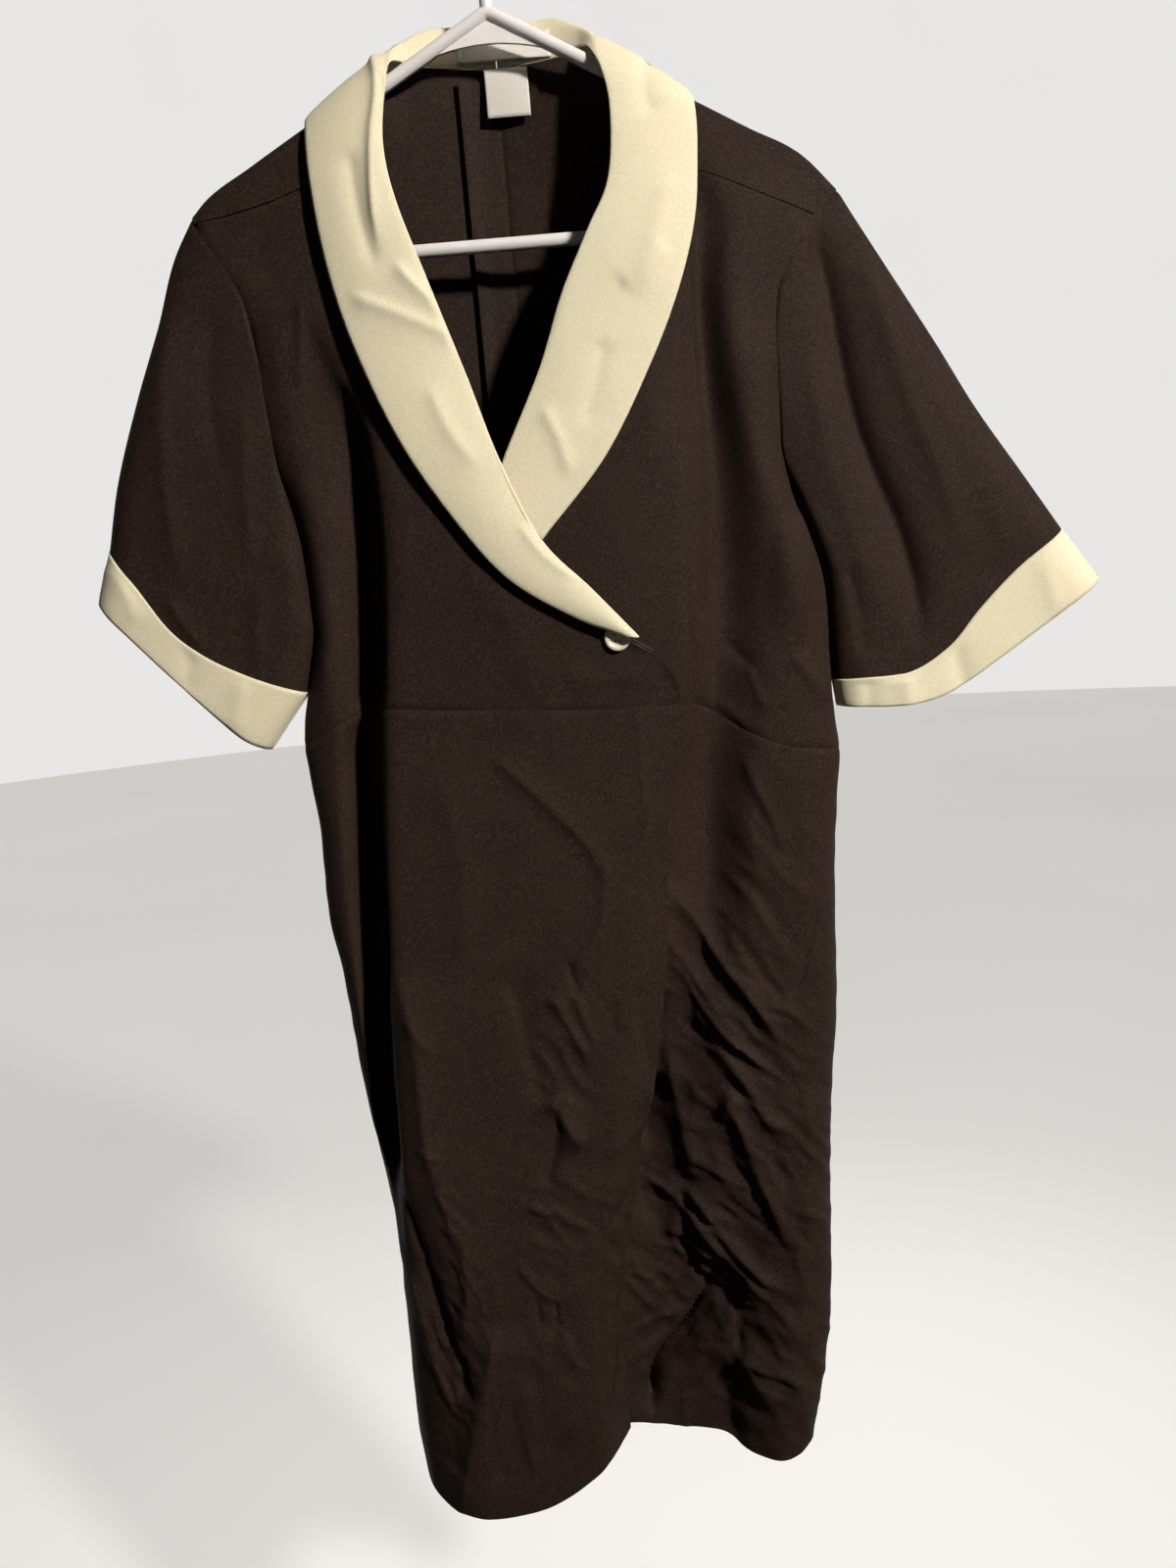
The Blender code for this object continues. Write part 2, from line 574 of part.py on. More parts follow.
def armhole_loops(front_bodice, back_bodice, flap, away):
    """The armhole seam on the front and on the back, from the shoulder to the underarm."""
    shift = np.array([away * ARMHOLE_GAP, 0, 0])
    front = np.concatenate((flap[:-1, 0], front_bodice[:ROWS_TO_UNDERARM + 1, 0])) + shift
    back = back_bodice[:ROWS_TO_UNDERARM + len(ARM_TURNS), 0] + shift
    underarm = (front[-1] + back[-1]) / 2 + shift
    front[-1] = underarm
    back[-1] = underarm
    back[0] = front[0]
    return front, back


def sleeve(front_loop, back_loop, outline):
    shares = np.linspace(SLEEVE_START, 1, SLEEVE_ROWS + 1)
    front = sleeve_face(front_loop, outline, shares, -1)
    back = sleeve_face(back_loop, outline, shares, 1)
    return tube(front, back)


def cuff(front_loop, back_loop, outline):
    front = cuff_face(share_along(front_loop[:, [0, 2]]), outline, -1)
    back = cuff_face(share_along(back_loop[:, [0, 2]]), outline, 1)
    return tube(front, back)


# ---- collar ----------------------------------------------------------------------------

def collar(stations, cells_stand, cells_fall, rows_between):
    """Sheet from the neck seam up the stand, over the roll and down the fall."""
    lines = {}
    for part in ("roll", "edge", "seam"):
        points = np.array([getattr(station, part) for station in stations], float)
        stops = [namedtuple("Stop", "way spot")(way, tuple(spot))
                 for way, spot in enumerate(points)]
        ways = np.linspace(0, len(points) - 1, (len(points) - 1) * rows_between + 1)
        lines[part] = follow(stops, "way", "spot", ways)
    roll, edge, seam = lines["roll"], lines["edge"], lines["seam"]
    across_fall = edge - roll
    along = np.gradient(roll, axis=0)
    out = np.cross(across_fall, along)
    out /= np.maximum(np.linalg.norm(out, axis=1, keepdims=True), 1e-6)
    out *= np.sign(out[:, 1:2] * (roll[:, 1:2] - 0.0) + 1e-9)
    columns = []
    for share in np.linspace(0, 1, cells_stand + 1)[:-1]:
        columns.append(seam + (roll - seam) * share)
    for share in np.linspace(0, 1, cells_fall + 1):
        columns.append(roll + across_fall * share + out * FALL_CROWN * 4 * share * (1 - share))
    return np.stack(columns, axis=1)


# ---- hard pieces -----------------------------------------------------------------------

def rod(name, spots, radius, closed):
    """Round bar along a list of spots in the hanger's plane, as a plain mesh object."""
    curve = bpy.data.curves.new(name, "CURVE")
    curve.dimensions = "3D"
    curve.bevel_depth = radius * MM
    curve.bevel_resolution = 2
    curve.use_fill_caps = not closed
    spline = curve.splines.new("POLY")
    spline.points.add(len(spots) - 1)
    for point, (across, height) in zip(spline.points, spots):
        point.co = (across * MM, 0.0, height * MM, 1.0)
    spline.use_cyclic_u = closed
    source = bpy.data.objects.new(name + "_curve", curve)
    bpy.context.scene.collection.objects.link(source)
    bpy.context.view_layer.update()
    evaluated = source.evaluated_get(bpy.context.evaluated_depsgraph_get())
    data = bpy.data.meshes.new_from_object(evaluated)
    bpy.data.objects.remove(source, do_unlink=True)
    mesh = bmesh.new()
    mesh.from_mesh(data)
    bmesh.ops.remove_doubles(mesh, verts=mesh.verts, dist=0.01 * MM)
    bmesh.ops.recalc_face_normals(mesh, faces=mesh.faces)
    mesh.to_mesh(data)
    mesh.free()
    return bpy.data.objects.new(name, data)


def rounded_corners(corners, radii, steps):
    """Closed outline through corners, each turned on an arc of its own radius."""
    outline = []
    count = len(corners)
    for index, (corner, radius) in enumerate(zip(corners, radii)):
        here = np.array(corner)
        before = np.array(corners[index - 1]) - here
        after = np.array(corners[(index + 1) % count]) - here
        before /= np.linalg.norm(before)
        after /= np.linalg.norm(after)
        half = math.acos(float(before @ after)) / 2
        reach = radius / math.tan(half)
        middle = here + (before + after) / np.linalg.norm(before + after) * radius / math.sin(half)
        start = here + before * reach - middle
        end = here + after * reach - middle
        turn = math.atan2(start[0] * end[1] - start[1] * end[0], float(start @ end))
        for step in range(steps + 1):
            angle = turn * step / steps
            outline.append((middle[0] + start[0] * math.cos(angle) - start[1] * math.sin(angle),
                            middle[1] + start[0] * math.sin(angle) + start[1] * math.cos(angle)))
    return outline


def arm_axis(across):
    return APEX_AXIS - HANGER_SLOPE * abs(across)


def hanger_frame():
    end = ARM_REACH + 16
    corners = [(0, APEX_AXIS), (end, arm_axis(end)), (ARM_REACH + 3, BAR_HEIGHT),
               (-ARM_REACH - 3, BAR_HEIGHT), (-end, arm_axis(end))]
    return rod("hanger", rounded_corners(corners, (7, 8, 9, 9, 8), 5), HANGER_RADIUS, True)


def hook():
    """Neck from the apex, then a round hook whose inner top is the origin."""
    centre = HANGER_RADIUS - HOOK_RADIUS
    spots = [(0, APEX_AXIS), (0, APEX_AXIS + 8), (0, HOOK_NECK)]
    for angle in (-58, -38):
        turn = math.radians(angle)
        spots.append((HOOK_RADIUS * math.cos(turn), centre + HOOK_RADIUS * math.sin(turn)))
    arc = np.linspace(-20, HOOK_TIP_ANGLE, 18)
    for angle in arc:
        turn = math.radians(angle)
        spots.append((HOOK_RADIUS * math.cos(turn), centre + HOOK_RADIUS * math.sin(turn)))
    return rod("hook_bar", spots, HANGER_RADIUS * 0.9, False)


def web():
    """Flat plate under the apex, with an arched lower edge between the arms."""
    steps = 10
    upper = [(across, arm_axis(across)) for across in np.linspace(-WEB_REACH, WEB_REACH, steps + 1)]
    lower = [(across, arm_axis(WEB_REACH) + (WEB_ARCH - arm_axis(WEB_REACH))
              * (1 - (across / WEB_REACH) ** 2)) for across in
             np.linspace(-WEB_REACH, WEB_REACH, steps + 1)]
    mesh = bmesh.new()
    for front in (-1, 1):
        depth = front * WEB_THICKNESS / 2
        rows = [[mesh.verts.new((x * MM, depth * MM, z * MM)) for x, z in line]
                for line in (upper, lower)]
        for index in range(steps):
            corners = [rows[0][index], rows[0][index + 1], rows[1][index + 1], rows[1][index]]
            if (corners[0].co - corners[3].co).length < 0.01 * MM:
                corners = [corners[0], corners[1], corners[2]]
            elif (corners[1].co - corners[2].co).length < 0.01 * MM:
                corners = [corners[0], corners[1], corners[3]]
            mesh.faces.new(corners)
    bmesh.ops.remove_doubles(mesh, verts=mesh.verts, dist=0.001 * MM)
    edges = [edge for edge in mesh.edges if edge.is_boundary]
    bmesh.ops.bridge_loops(mesh, edges=edges)
    bmesh.ops.recalc_face_normals(mesh, faces=mesh.faces)
    data = bpy.data.meshes.new("hanger_web")
    mesh.to_mesh(data)
    mesh.free()
    return bpy.data.objects.new("web_plate", data)


def join_by(piece, other, operation):
    """Add or cut another object with a Boolean; the other is kept as a cutter."""
    other.hide_render = True
    other.display_type = "WIRE"
    change = piece.modifiers.new(other.name, "BOOLEAN")
    change.operation = operation
    change.object = other
    change.solver = "EXACT"


def button_profile():
    """Half section of the button: a dished middle inside a rounded rim."""
    return [(0, -BUTTON_THICKNESS + 0.8), (5.6, -BUTTON_THICKNESS + 0.8), (6.6, -BUTTON_THICKNESS),
            (8.2, -BUTTON_THICKNESS), (BUTTON_RADIUS, -BUTTON_THICKNESS + 0.8),
            (BUTTON_RADIUS - 0.2, -0.6), (7.6, 0), (0, 0)]


def button_seat(panel_points):
    """Depth of the button's underside, just off the plane of the cloth beneath it."""
    near = panel_points.reshape(-1, 3) - (BUTTON_CENTRE[0], 0, BUTTON_CENTRE[1])
    near = near[np.hypot(near[:, 0], near[:, 2]) < 4 * BUTTON_RADIUS]
    sides = np.stack((near[:, 0], near[:, 2], np.ones(len(near))), axis=1)
    slope_x, slope_z, level = np.linalg.lstsq(sides, near[:, 1], rcond=None)[0]
    return level - BUTTON_RADIUS * math.hypot(slope_x, slope_z) - SEAM_GAP


def button(face_depth, material, collection, cutters):
    mesh = bmesh.new()
    spots = [mesh.verts.new((radius * MM, 0, depth * MM)) for radius, depth in button_profile()]
    for start, end in zip(spots[:-1], spots[1:]):
        mesh.edges.new((start, end))
    data = bpy.data.meshes.new("button")
    mesh.to_mesh(data)
    mesh.free()
    piece = bpy.data.objects.new("button", data)
    collection.objects.link(piece)
    data.materials.append(material)
    turning = piece.modifiers.new("turned", "SCREW")
    turning.steps = turning.render_steps = 28
    turning.use_merge_vertices = True
    turning.merge_threshold = 0.00002
    turning.use_normal_calculate = True
    piece.rotation_euler = (math.radians(-90), 0, 0)
    piece.location = (BUTTON_CENTRE[0] * MM, face_depth * MM, BUTTON_CENTRE[1] * MM)
    for index, (side, up) in enumerate(((-1, -1), (1, -1), (1, 1), (-1, 1))):
        hole = round_cutter(f"button_hole_{index + 1}", BUTTON_HOLE,
                            (BUTTON_CENTRE[0] + side * BUTTON_HOLE_SPACING, face_depth,
                             BUTTON_CENTRE[1] + up * BUTTON_HOLE_SPACING), cutters)
        join_by(piece, hole, "DIFFERENCE")


def round_cutter(name, radius, centre, cutters):
    mesh = bmesh.new()
    bmesh.ops.create_cone(mesh, cap_ends=True, segments=10, radius1=radius * MM,
                          radius2=radius * MM, depth=12 * MM)
    data = bpy.data.meshes.new(name)
    mesh.to_mesh(data)
    mesh.free()
    cutter = bpy.data.objects.new(name, data)
    cutters.objects.link(cutter)
    cutter.rotation_euler = (math.radians(90), 0, 0)
    cutter.location = tuple(value * MM for value in centre)
    return cutter


def label(name, size, centre, lean, material, collection):
    """Bare woven label, a thin plate."""
    mesh = bmesh.new()
    bmesh.ops.create_cube(mesh, size=1.0)
    for vertex in mesh.verts:
        vertex.co.x *= size[0] * MM
        vertex.co.y *= size[2] * MM
        vertex.co.z *= size[1] * MM
    data = bpy.data.meshes.new(name)
    mesh.to_mesh(data)
    mesh.free()
    piece = bpy.data.objects.new(name, data)
    piece.rotation_euler = (math.radians(lean), 0, 0)
    piece.location = tuple(value * MM for value in centre)
    collection.objects.link(piece)
    data.materials.append(material)


# ---- the whole dress -------------------------------------------------------------------

def build():
    clear_scene()
    dress = bpy.data.collections.new("waitress_dress")
    cutters = bpy.data.collections.new("cutters")
    bpy.context.scene.collection.children.link(dress)
    bpy.context.scene.collection.children.link(cutters)

    brown = new_material("brown polyester gabardine", (0.030, 0.018, 0.014), 0.75)
    cream = new_material("cream polyester gabardine", (0.70, 0.66, 0.46), 0.75)
    ivory = new_material("ivory polyester resin", (0.78, 0.72, 0.58), 0.30)
    white = new_material("white moulded polystyrene", (0.86, 0.84, 0.82), 0.35)
    satin = new_material("white woven label tape", (0.72, 0.72, 0.70), 0.55)

    bodice_over, skirt_over = over_front()
    bodice_under, skirt_under = under_front()
    back_right, flap_right = back_half(BACK_RIGHT, SIDE_RIGHT, UNDERARM_RIGHT, -205,
                                       bodice_over[0])
    back_left, flap_left = back_half(BACK_LEFT, SIDE_LEFT, UNDERARM_LEFT, 222, bodice_under[0])

    wall("bodice_front_right", [bodice_over], CLOTH, brown, dress, flip=True)
    wall("skirt_front_right", [skirt_over], CLOTH, brown, dress, flip=True)
    wall("bodice_front_left", [bodice_under], CLOTH, brown, dress, flip=True)
    wall("skirt_front_left", [skirt_under], CLOTH, brown, dress, flip=True)
    wall("bodice_back_right", [back_right, flap_right[::-1]], CLOTH, brown, dress)
    wall("bodice_back_left", [back_left, flap_left[::-1]], CLOTH, brown, dress, flip=True)
    wall("back_pleat_underlay", [pleat_underlay(back_right, back_left)], CLOTH, brown, dress)
    wall("skirt_back", [back_skirt()], CLOTH, brown, dress)

    loops_right = armhole_loops(bodice_over, back_right, flap_right, -1)
    loops_left = armhole_loops(bodice_under[:, ::-1], back_left, flap_left, 1)
    wall("sleeve_right", [sleeve(*loops_right, SLEEVE_RIGHT)], CLOTH, brown, dress, True, True)
    wall("sleeve_left", [sleeve(*loops_left, SLEEVE_LEFT)], CLOTH, brown, dress, True)
    wall("cuff_right", [cuff(*loops_right, SLEEVE_RIGHT)], CUFF_CLOTH, cream, dress, True, True)
    wall("cuff_left", [cuff(*loops_left, SLEEVE_LEFT)], CUFF_CLOTH, cream, dress, True)
    wall("collar_right", [collar(COLLAR_RIGHT, 2, 4, 2)], COLLAR_CLOTH, cream, dress)
    wall("collar_left", [collar(COLLAR_LEFT, 2, 4, 2)], COLLAR_CLOTH, cream, dress, flip=True)

    frame = hanger_frame()
    dress.objects.link(frame)
    frame.data.materials.append(white)
    for piece in (hook(), web()):
        cutters.objects.link(piece)
        join_by(frame, piece, "UNION")

    button(button_seat(bodice_over), ivory, dress, cutters)
    label("label_neck", NECK_LABEL, (LABEL_ACROSS, 18.6, -84), -16, satin, dress)
    label("label_care", CARE_LABEL, (LABEL_ACROSS, 15.0, -114), -4, satin, dress)


build()
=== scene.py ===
"""Looks of a short-sleeved wrap dress for table service, hung on a moulded hanger.

The dress hangs with its front towards -Y and the wearer's right side at -X. The origin is
the seat of the hanger's hook. Tables and sizes are in millimetres; meshes are in metres.

A panel of cloth is a grid of points. Across it run rails, the lines that the cloth's
section passes through at every height; down it run rows, from the seam at its top to the
seam or hem at its bottom. Creases are then pressed into the grid from tables.
"""

import math
from collections import namedtuple

import bmesh
import bpy
import numpy as np
from mathutils import Matrix, Vector, noise
from mathutils.bvhtree import BVHTree


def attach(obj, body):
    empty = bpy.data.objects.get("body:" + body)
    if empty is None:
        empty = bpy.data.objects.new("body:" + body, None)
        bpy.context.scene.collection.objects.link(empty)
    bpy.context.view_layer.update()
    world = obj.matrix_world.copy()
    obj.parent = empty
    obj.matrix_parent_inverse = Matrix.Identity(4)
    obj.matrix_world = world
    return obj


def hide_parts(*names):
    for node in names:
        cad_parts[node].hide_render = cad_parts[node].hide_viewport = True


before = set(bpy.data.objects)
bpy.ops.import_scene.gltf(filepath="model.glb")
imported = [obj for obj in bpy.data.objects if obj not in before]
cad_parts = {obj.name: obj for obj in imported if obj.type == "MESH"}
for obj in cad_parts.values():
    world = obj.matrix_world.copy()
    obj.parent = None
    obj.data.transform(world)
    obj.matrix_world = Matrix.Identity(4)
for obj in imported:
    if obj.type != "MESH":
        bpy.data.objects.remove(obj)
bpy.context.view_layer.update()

MM = 0.001
FRONT, BACK = -1, 1
TINY = 1e-9            # keeps a length of nought out of a division

CLOTH = 0.8            # gabardine, drawn as thick as it needs to be to show an edge
COLLAR_CLOTH = 1.8     # two layers and their interlining
CUFF_CLOTH = 1.5       # turned double
SEAM_GAP = 0.05        # between two pieces that are sewn together
ARMHOLE_GAP = 0.05
CUFF_GAP = -0.5        # the cuff's turned edge laps over the sleeve
WAIST_GAP = 0.03
SIDE_GAP = 0.15        # each panel stops this far from the plane of the side seam
HEM_DEPTH = 37.0       # of the turned-up cloth
SPACING = 2.7          # between two points of a panel's grid
SKIRT_SPACING = 2.0    # and on the fronts of the skirt, which are the most creased
HIDDEN_SPACING = 3.1   # and on the back of the skirt

HANGER_RADIUS = 4.5
HANGER_SLOPE = 0.547
APEX_AXIS = -71.0
ARM_REACH = 181.0
ARM_RUN_ON = 16.0      # the arm's corner lies so far past its reach, before it is rounded
BAR_HEIGHT = -213.0
BAR_RUN_ON = 3.0       # and the bar's corner
FRAME_BENDS = (7, 8, 9, 9, 8)      # radii at the apex, arm, bar, bar and arm
ARM_WRAP = 6.8         # outer radius of the cloth over an arm

HOOK_RADIUS = 22.5
HOOK_SHARE = 0.9       # the hook's bar is thinner than the frame's
HOOK_NECK = -50.0
HOOK_FOOT = 8.0        # above the apex
HOOK_TURNS = (-58, -38)            # degrees round the hook, where the neck swings out to it
HOOK_START, HOOK_TIP = -20.0, 212.0

WEB_THICKNESS = 2.6
WEB_REACH = 58.0
WEB_ARCH = -90.0

BUTTON_RADIUS = 9.0
BUTTON_CENTRE = (52.0, -478.0)
BUTTON_GAP = 0.2       # under the button's back
BUTTON_HOLE = 1.0
BUTTON_HOLE_SPACING = 1.9
HOLE_SIDES = ((-1, -1), (1, -1), (1, 1), (-1, 1))
DRILL_LENGTH = 12.0
BUTTON_REST = 4        # the cloth within so many of its radii carries the button
BUTTONHOLE = ((62.5, -481.5), (74, -489))
PURLS = 20             # pairs of stitches along the buttonhole
PURL_STITCH = ((0.25, 0.0), (0.8, 0.3), (1.35, 0.3), (1.7, -0.2))      # off the slit, lift
PURL_RADIUS = 0.22
THREAD_BESIDE = 0.28   # two threads go through each pair of holes, this far off their middle
BUTTON_THREAD = (      # height and depth along one of them
    (-1.9, -0.6), (-1.8, -1.9), (-1.2, -2.3), (1.2, -2.3), (1.8, -1.9), (1.9, -0.6))
THREAD_RADIUS = 0.3
TOPSTITCH_LONG, TOPSTITCH_GAP, TOPSTITCH_RADIUS = 2.6, 0.9, 0.24
TOPSTITCH_BOW = (-0.9, 0.6, 1.0, 0.6, -0.9)        # lift along one stitch, in radii
TOPSTITCH_ROWS = 60    # of the collar's grid, from the centre back on
LABEL_ROWS, LABEL_COLUMNS = 13, 25

PLEAT_CENTRE = 3.0
PLEAT_REACH = 26.5
UNDERLAY_STEP = 2.1    # inside the backs
UNDERLAY_CELLS = 48


def table(columns, *rows):
    """Name the columns of a short table, with one row for each section."""
    row_type = namedtuple("Row", columns)
    return [row_type(*row) for row in rows]


def seam(*rows):
    """A seam or hem as it crosses the dress."""
    return table("across height", *rows)


def creases(*rows):
    """Creases of one panel, each along a path of (across, height) as it is seen.

    A furrow has a negative rise. On a path that runs down, lit is the crease's width on the
    viewer's right, where the light comes from, and shade is the one on the left. A larger
    bend gives a rounder crest.
    """
    return table("rise lit shade bend path", *rows)


def crumples(*rows):
    """Zones of small folds: centre, half size, direction of the folds, their width and rise."""
    return table("across height wide tall lean size rise", *rows)


LABELS = table(
    "node wide tall thick centre lean bow",        # lean in degrees
    ("label_neck", 62.0, 20.0, 0.7, (9.0, 18.6, -84.0), -16, 0.4),
    ("label_care", 29.0, 31.0, 0.7, (9.0, 15.0, -114.0), -4, 0.6))

BUTTON_PROFILE = table(
    "radius depth",       # half section, from the middle of the face to the back
    (0, -1.75), (4.6, -1.75), (5.4, -1.85), (6.0, -2.2), (6.5, -2.5), (7.2, -2.6),
    (8.0, -2.5), (8.6, -2.15), (8.95, -1.6), (8.95, -1.1), (8.7, -0.6), (8.2, -0.25),
    (7.6, -0.05), (6.6, 0), (0, 0))


# ---- seams, read across the dress ------------------------------------------------------

# top of the shoulders and the back neckline between them
RIDGE = seam(
    (-205.5, -180), (-195, -170), (-165, -153), (-122, -129.5), (-78, -106), (-57, -95),
    (3, -97), (57, -95), (78, -106), (122, -129.5), (165, -153.5), (200, -173), (222, -196))

# sits forward of the ridge
SHOULDER_SEAM = seam(
    (-206, -187), (-157, -179), (-122, -168), (-78, -147), (-40, -129),
    (38, -133), (74, -150), (128, -179), (150, -189), (180, -202), (206, -213))

WAIST_FRONT = seam(
    (-177, -538), (-112, -514), (-68, -518), (40, -526), (96, -528), (110, -532),
    (140, -552), (168, -564), (206, -571))

WAIST_BACK = seam(
    (-177, -538), (-60, -531), (70, -536), (206, -571))

HEM_OVER = seam(
    (-150, -1112), (-122, -1126), (-75, -1134), (-47, -1132), (-21, -1122), (16, -1099))

HEM_UNDER = seam(
    (-35, -1104), (10, -1107), (50, -1116), (86, -1120), (102, -1127), (136, -1131),
    (162, -1128))

HEM_BACK = seam(
    (-150, -1112), (-110, -1124), (-60, -1128), (60, -1122), (162, -1128))

# ---- sides: the plane of the side seam, and half the depth of the armhole above it ------

SIDE_RIGHT = table(
    "height across seam armhole",
    (-180, -205.5, 0, 0), (-187, -204, 0, 6.6), (-206, -193, 0, 12),
    (-232, -179, 0, 15), (-262, -173, 0, 16), (-310, -170, 0, 16),
    (-345, -167, 0, 14), (-362, -165, 0, 9), (-372, -164, 0, 0),
    (-400, -160, 0, 0), (-460, -159, 0, 0), (-500, -169, 0, 0),
    (-540, -176, 0, 0), (-600, -172.5, 0.5, 0), (-660, -174, 1, 0),
    (-710, -169, 1.5, 0), (-809, -163, 2, 0), (-883, -155, 2.5, 0),
    (-956, -149, 3, 0), (-1014, -149, 3.5, 0), (-1079, -153, 4, 0),
    (-1138, -147, 4, 0))
UNDERARM_RIGHT = -372.0

SIDE_LEFT = table(
    "height across seam armhole",
    (-196, 222, 0, 0), (-204, 213, 0, 6.6), (-213, 204, 0, 10),
    (-232, 192, 0, 14), (-262, 177, 0, 16), (-310, 174, 0, 16),
    (-358, 174, 0, 14), (-377, 178, 0, 9), (-387, 180, 0, 0),
    (-424, 194, 0, 0), (-455, 202, 0, 0), (-538, 204, 0, 0),
    (-573, 207, 0, 0), (-604, 204, 0.5, 0), (-653, 200, 1, 0),
    (-768, 196, 1.5, 0), (-850, 188, 2, 0), (-932, 184, 2.5, 0),
    (-997, 182, 3, 0), (-1055, 176, 3.5, 0), (-1096, 168, 4, 0),
    (-1134, 160, 4, 0))
UNDERARM_LEFT = -387.0

# ---- sections of the body: (across, forward) of each rail ------------------------------

# wearer's right front, which laps over; a deep fold runs down it beside the collar
FRONT_RIGHT = table(
    "height strip valley crest plane border edge",
    (-147, (-158, -9), (-140, -10), (-128, -11), (-112, -11), (-96, -12), (-78, -12)),
    (-187, (-180, -11), (-156, -13), (-140, -14), (-115, -15), (-92, -16), (-72, -17)),
    (-250, (-160, -19), (-140, -20), (-126, -22), (-104, -23), (-80, -24), (-56, -25)),
    (-310, (-154, -20), (-122, -18), (-108, -26), (-88, -28), (-62, -29), (-36, -30)),
    (-384, (-148, -17), (-114, -9), (-100, -29), (-80, -33), (-40, -38.5), (-8, -40)),
    (-450, (-146, -16), (-118, -7), (-105, -30), (-84, -34), (0, -39.5), (38, -39.5)),
    (-520, (-150, -16), (-126, -6), (-112, -31), (-92, -34), (54, -35.5), (92, -34)),
    (-600, (-155, -15), (-135, -5), (-121, -33), (-100, -36), (48, -38), (79, -35)),
    (-700, (-157, -14), (-144, -4), (-131, -36), (-110, -40), (38, -41), (70, -36)),
    (-800, (-157, -13), (-150, -6), (-139, -38), (-118, -43), (26, -45), (54, -38)),
    (-840, (-155, -13), (-149, -12), (-139, -40), (-115, -45), (18, -46), (42, -34)),
    (-880, (-152, -14), (-148, -22), (-138, -41), (-112, -47), (10, -47), (36, -31)),
    (-960, (-147, -17), (-140, -33), (-124, -42), (-97, -49), (-3, -47), (20, -22)),
    (-1040, (-149, -18), (-138, -34), (-113, -44), (-90, -51), (-7, -46), (14, -16)),
    (-1138, (-144, -20), (-137, -36), (-120, -49), (-95, -54), (-14, -34), (16, -6)))

# wearer's left front, which lies under; its inner edge is hidden by the other front
FRONT_LEFT = table(
    "height edge wall trough rise lobe",
    (-150, (74, -12), (100, -12), (112, -11), (124, -11), (138, -11)),
    (-213, (62, -20), (112, -19), (129, -12), (148, -17), (178, -14)),
    (-262, (33, -23), (106, -24), (124, -11), (142, -21), (160, -19)),
    (-320, (8, -27), (100, -28), (125, -12), (146, -24), (161, -21)),
    (-387, (-30, -29), (98, -30), (128, -12), (156, -23), (170, -17)),
    (-455, (-52, -30), (94, -30), (127, -9), (162, -21), (188, -17)),
    (-530, (-56, -29), (84, -28), (116, -10), (155, -21), (190, -17)),
    (-600, (-50, -31), (62, -29), (108, -6), (142, -21), (188, -19)),
    (-700, (-45, -33), (52, -30), (98, -8), (134, -22), (182, -21)),
    (-800, (-40, -34), (35, -28), (68, -3), (120, -18), (175, -22)),
    (-880, (-35, -32), (18, -20), (55, 4), (105, -14), (168, -23)),
    (-960, (-35, -24), (0, -10), (50, 6), (95, -8), (158, -24)),
    (-1040, (-35, -18), (0, -4), (50, 8), (88, -2), (148, -24)),
    (-1134, (-35, -10), (4, 5), (50, 10), (84, 5), (132, -22)))

# right and left halves of the back, which meet at the pleat
BACK_RIGHT = table(
    "height round blade neck centre",
    (-95, (-160, 9), (-125, 10), (-78, 10), (2.4, 24)),
    (-180, (-184, 12), (-132, 17), (-74, 22), (2.4, 28)),
    (-262, (-158, 22), (-118, 26), (-66, 29), (2.4, 31)),
    (-372, (-150, 18), (-114, 27), (-64, 31), (2.4, 32)),
    (-450, (-148, 17), (-112, 26), (-64, 30), (2.4, 31)),
    (-540, (-160, 16), (-116, 25), (-62, 28), (2.4, 29)))

BACK_LEFT = table(
    "height round blade neck centre",
    (-95, (160, 9), (125, 10), (78, 10), (3.6, 24)),
    (-196, (196, 12), (138, 17), (76, 22), (3.6, 28)),
    (-262, (162, 22), (122, 26), (70, 29), (3.6, 31)),
    (-387, (164, 18), (122, 27), (70, 31), (3.6, 32)),
    (-455, (186, 17), (128, 26), (72, 30), (3.6, 31)),
    (-571, (188, 16), (130, 25), (72, 28), (3.6, 29)))

SKIRT_BACK = table(
    "height round_right fold_right middle fold_left round_left",
    (-530, (-158, 16), (-70, 27), (10, 29), (96, 27), (186, 16)),
    (-640, (-158, 20), (-66, 27), (8, 31), (90, 27), (184, 20)),
    (-800, (-146, 27), (-62, 26), (4, 34), (84, 27), (172, 26)),
    (-960, (-134, 31), (-62, 24), (0, 37), (76, 26), (162, 31)),
    (-1135, (-128, 36), (-66, 24), (0, 41), (70, 27), (140, 36)))

# ---- sleeves and cuffs: outlines seen from the front -----------------------------------

SLEEVE_RIGHT = dict(
    outer=[(-205.5, -180), (-222, -207), (-238, -247), (-259, -293), (-281, -348), (-293, -391)],
    inner=[(-164, -372), (-158.5, -397), (-157.5, -420), (-157, -455), (-162.5, -478), (-168, -501)],
    wrist=[(-293, -391), (-275, -416), (-254, -450), (-233, -469), (-205, -485), (-168, -501)],
    hem=[(-306, -425), (-284, -451), (-262, -477), (-228, -515), (-214, -529), (-199, -539)])

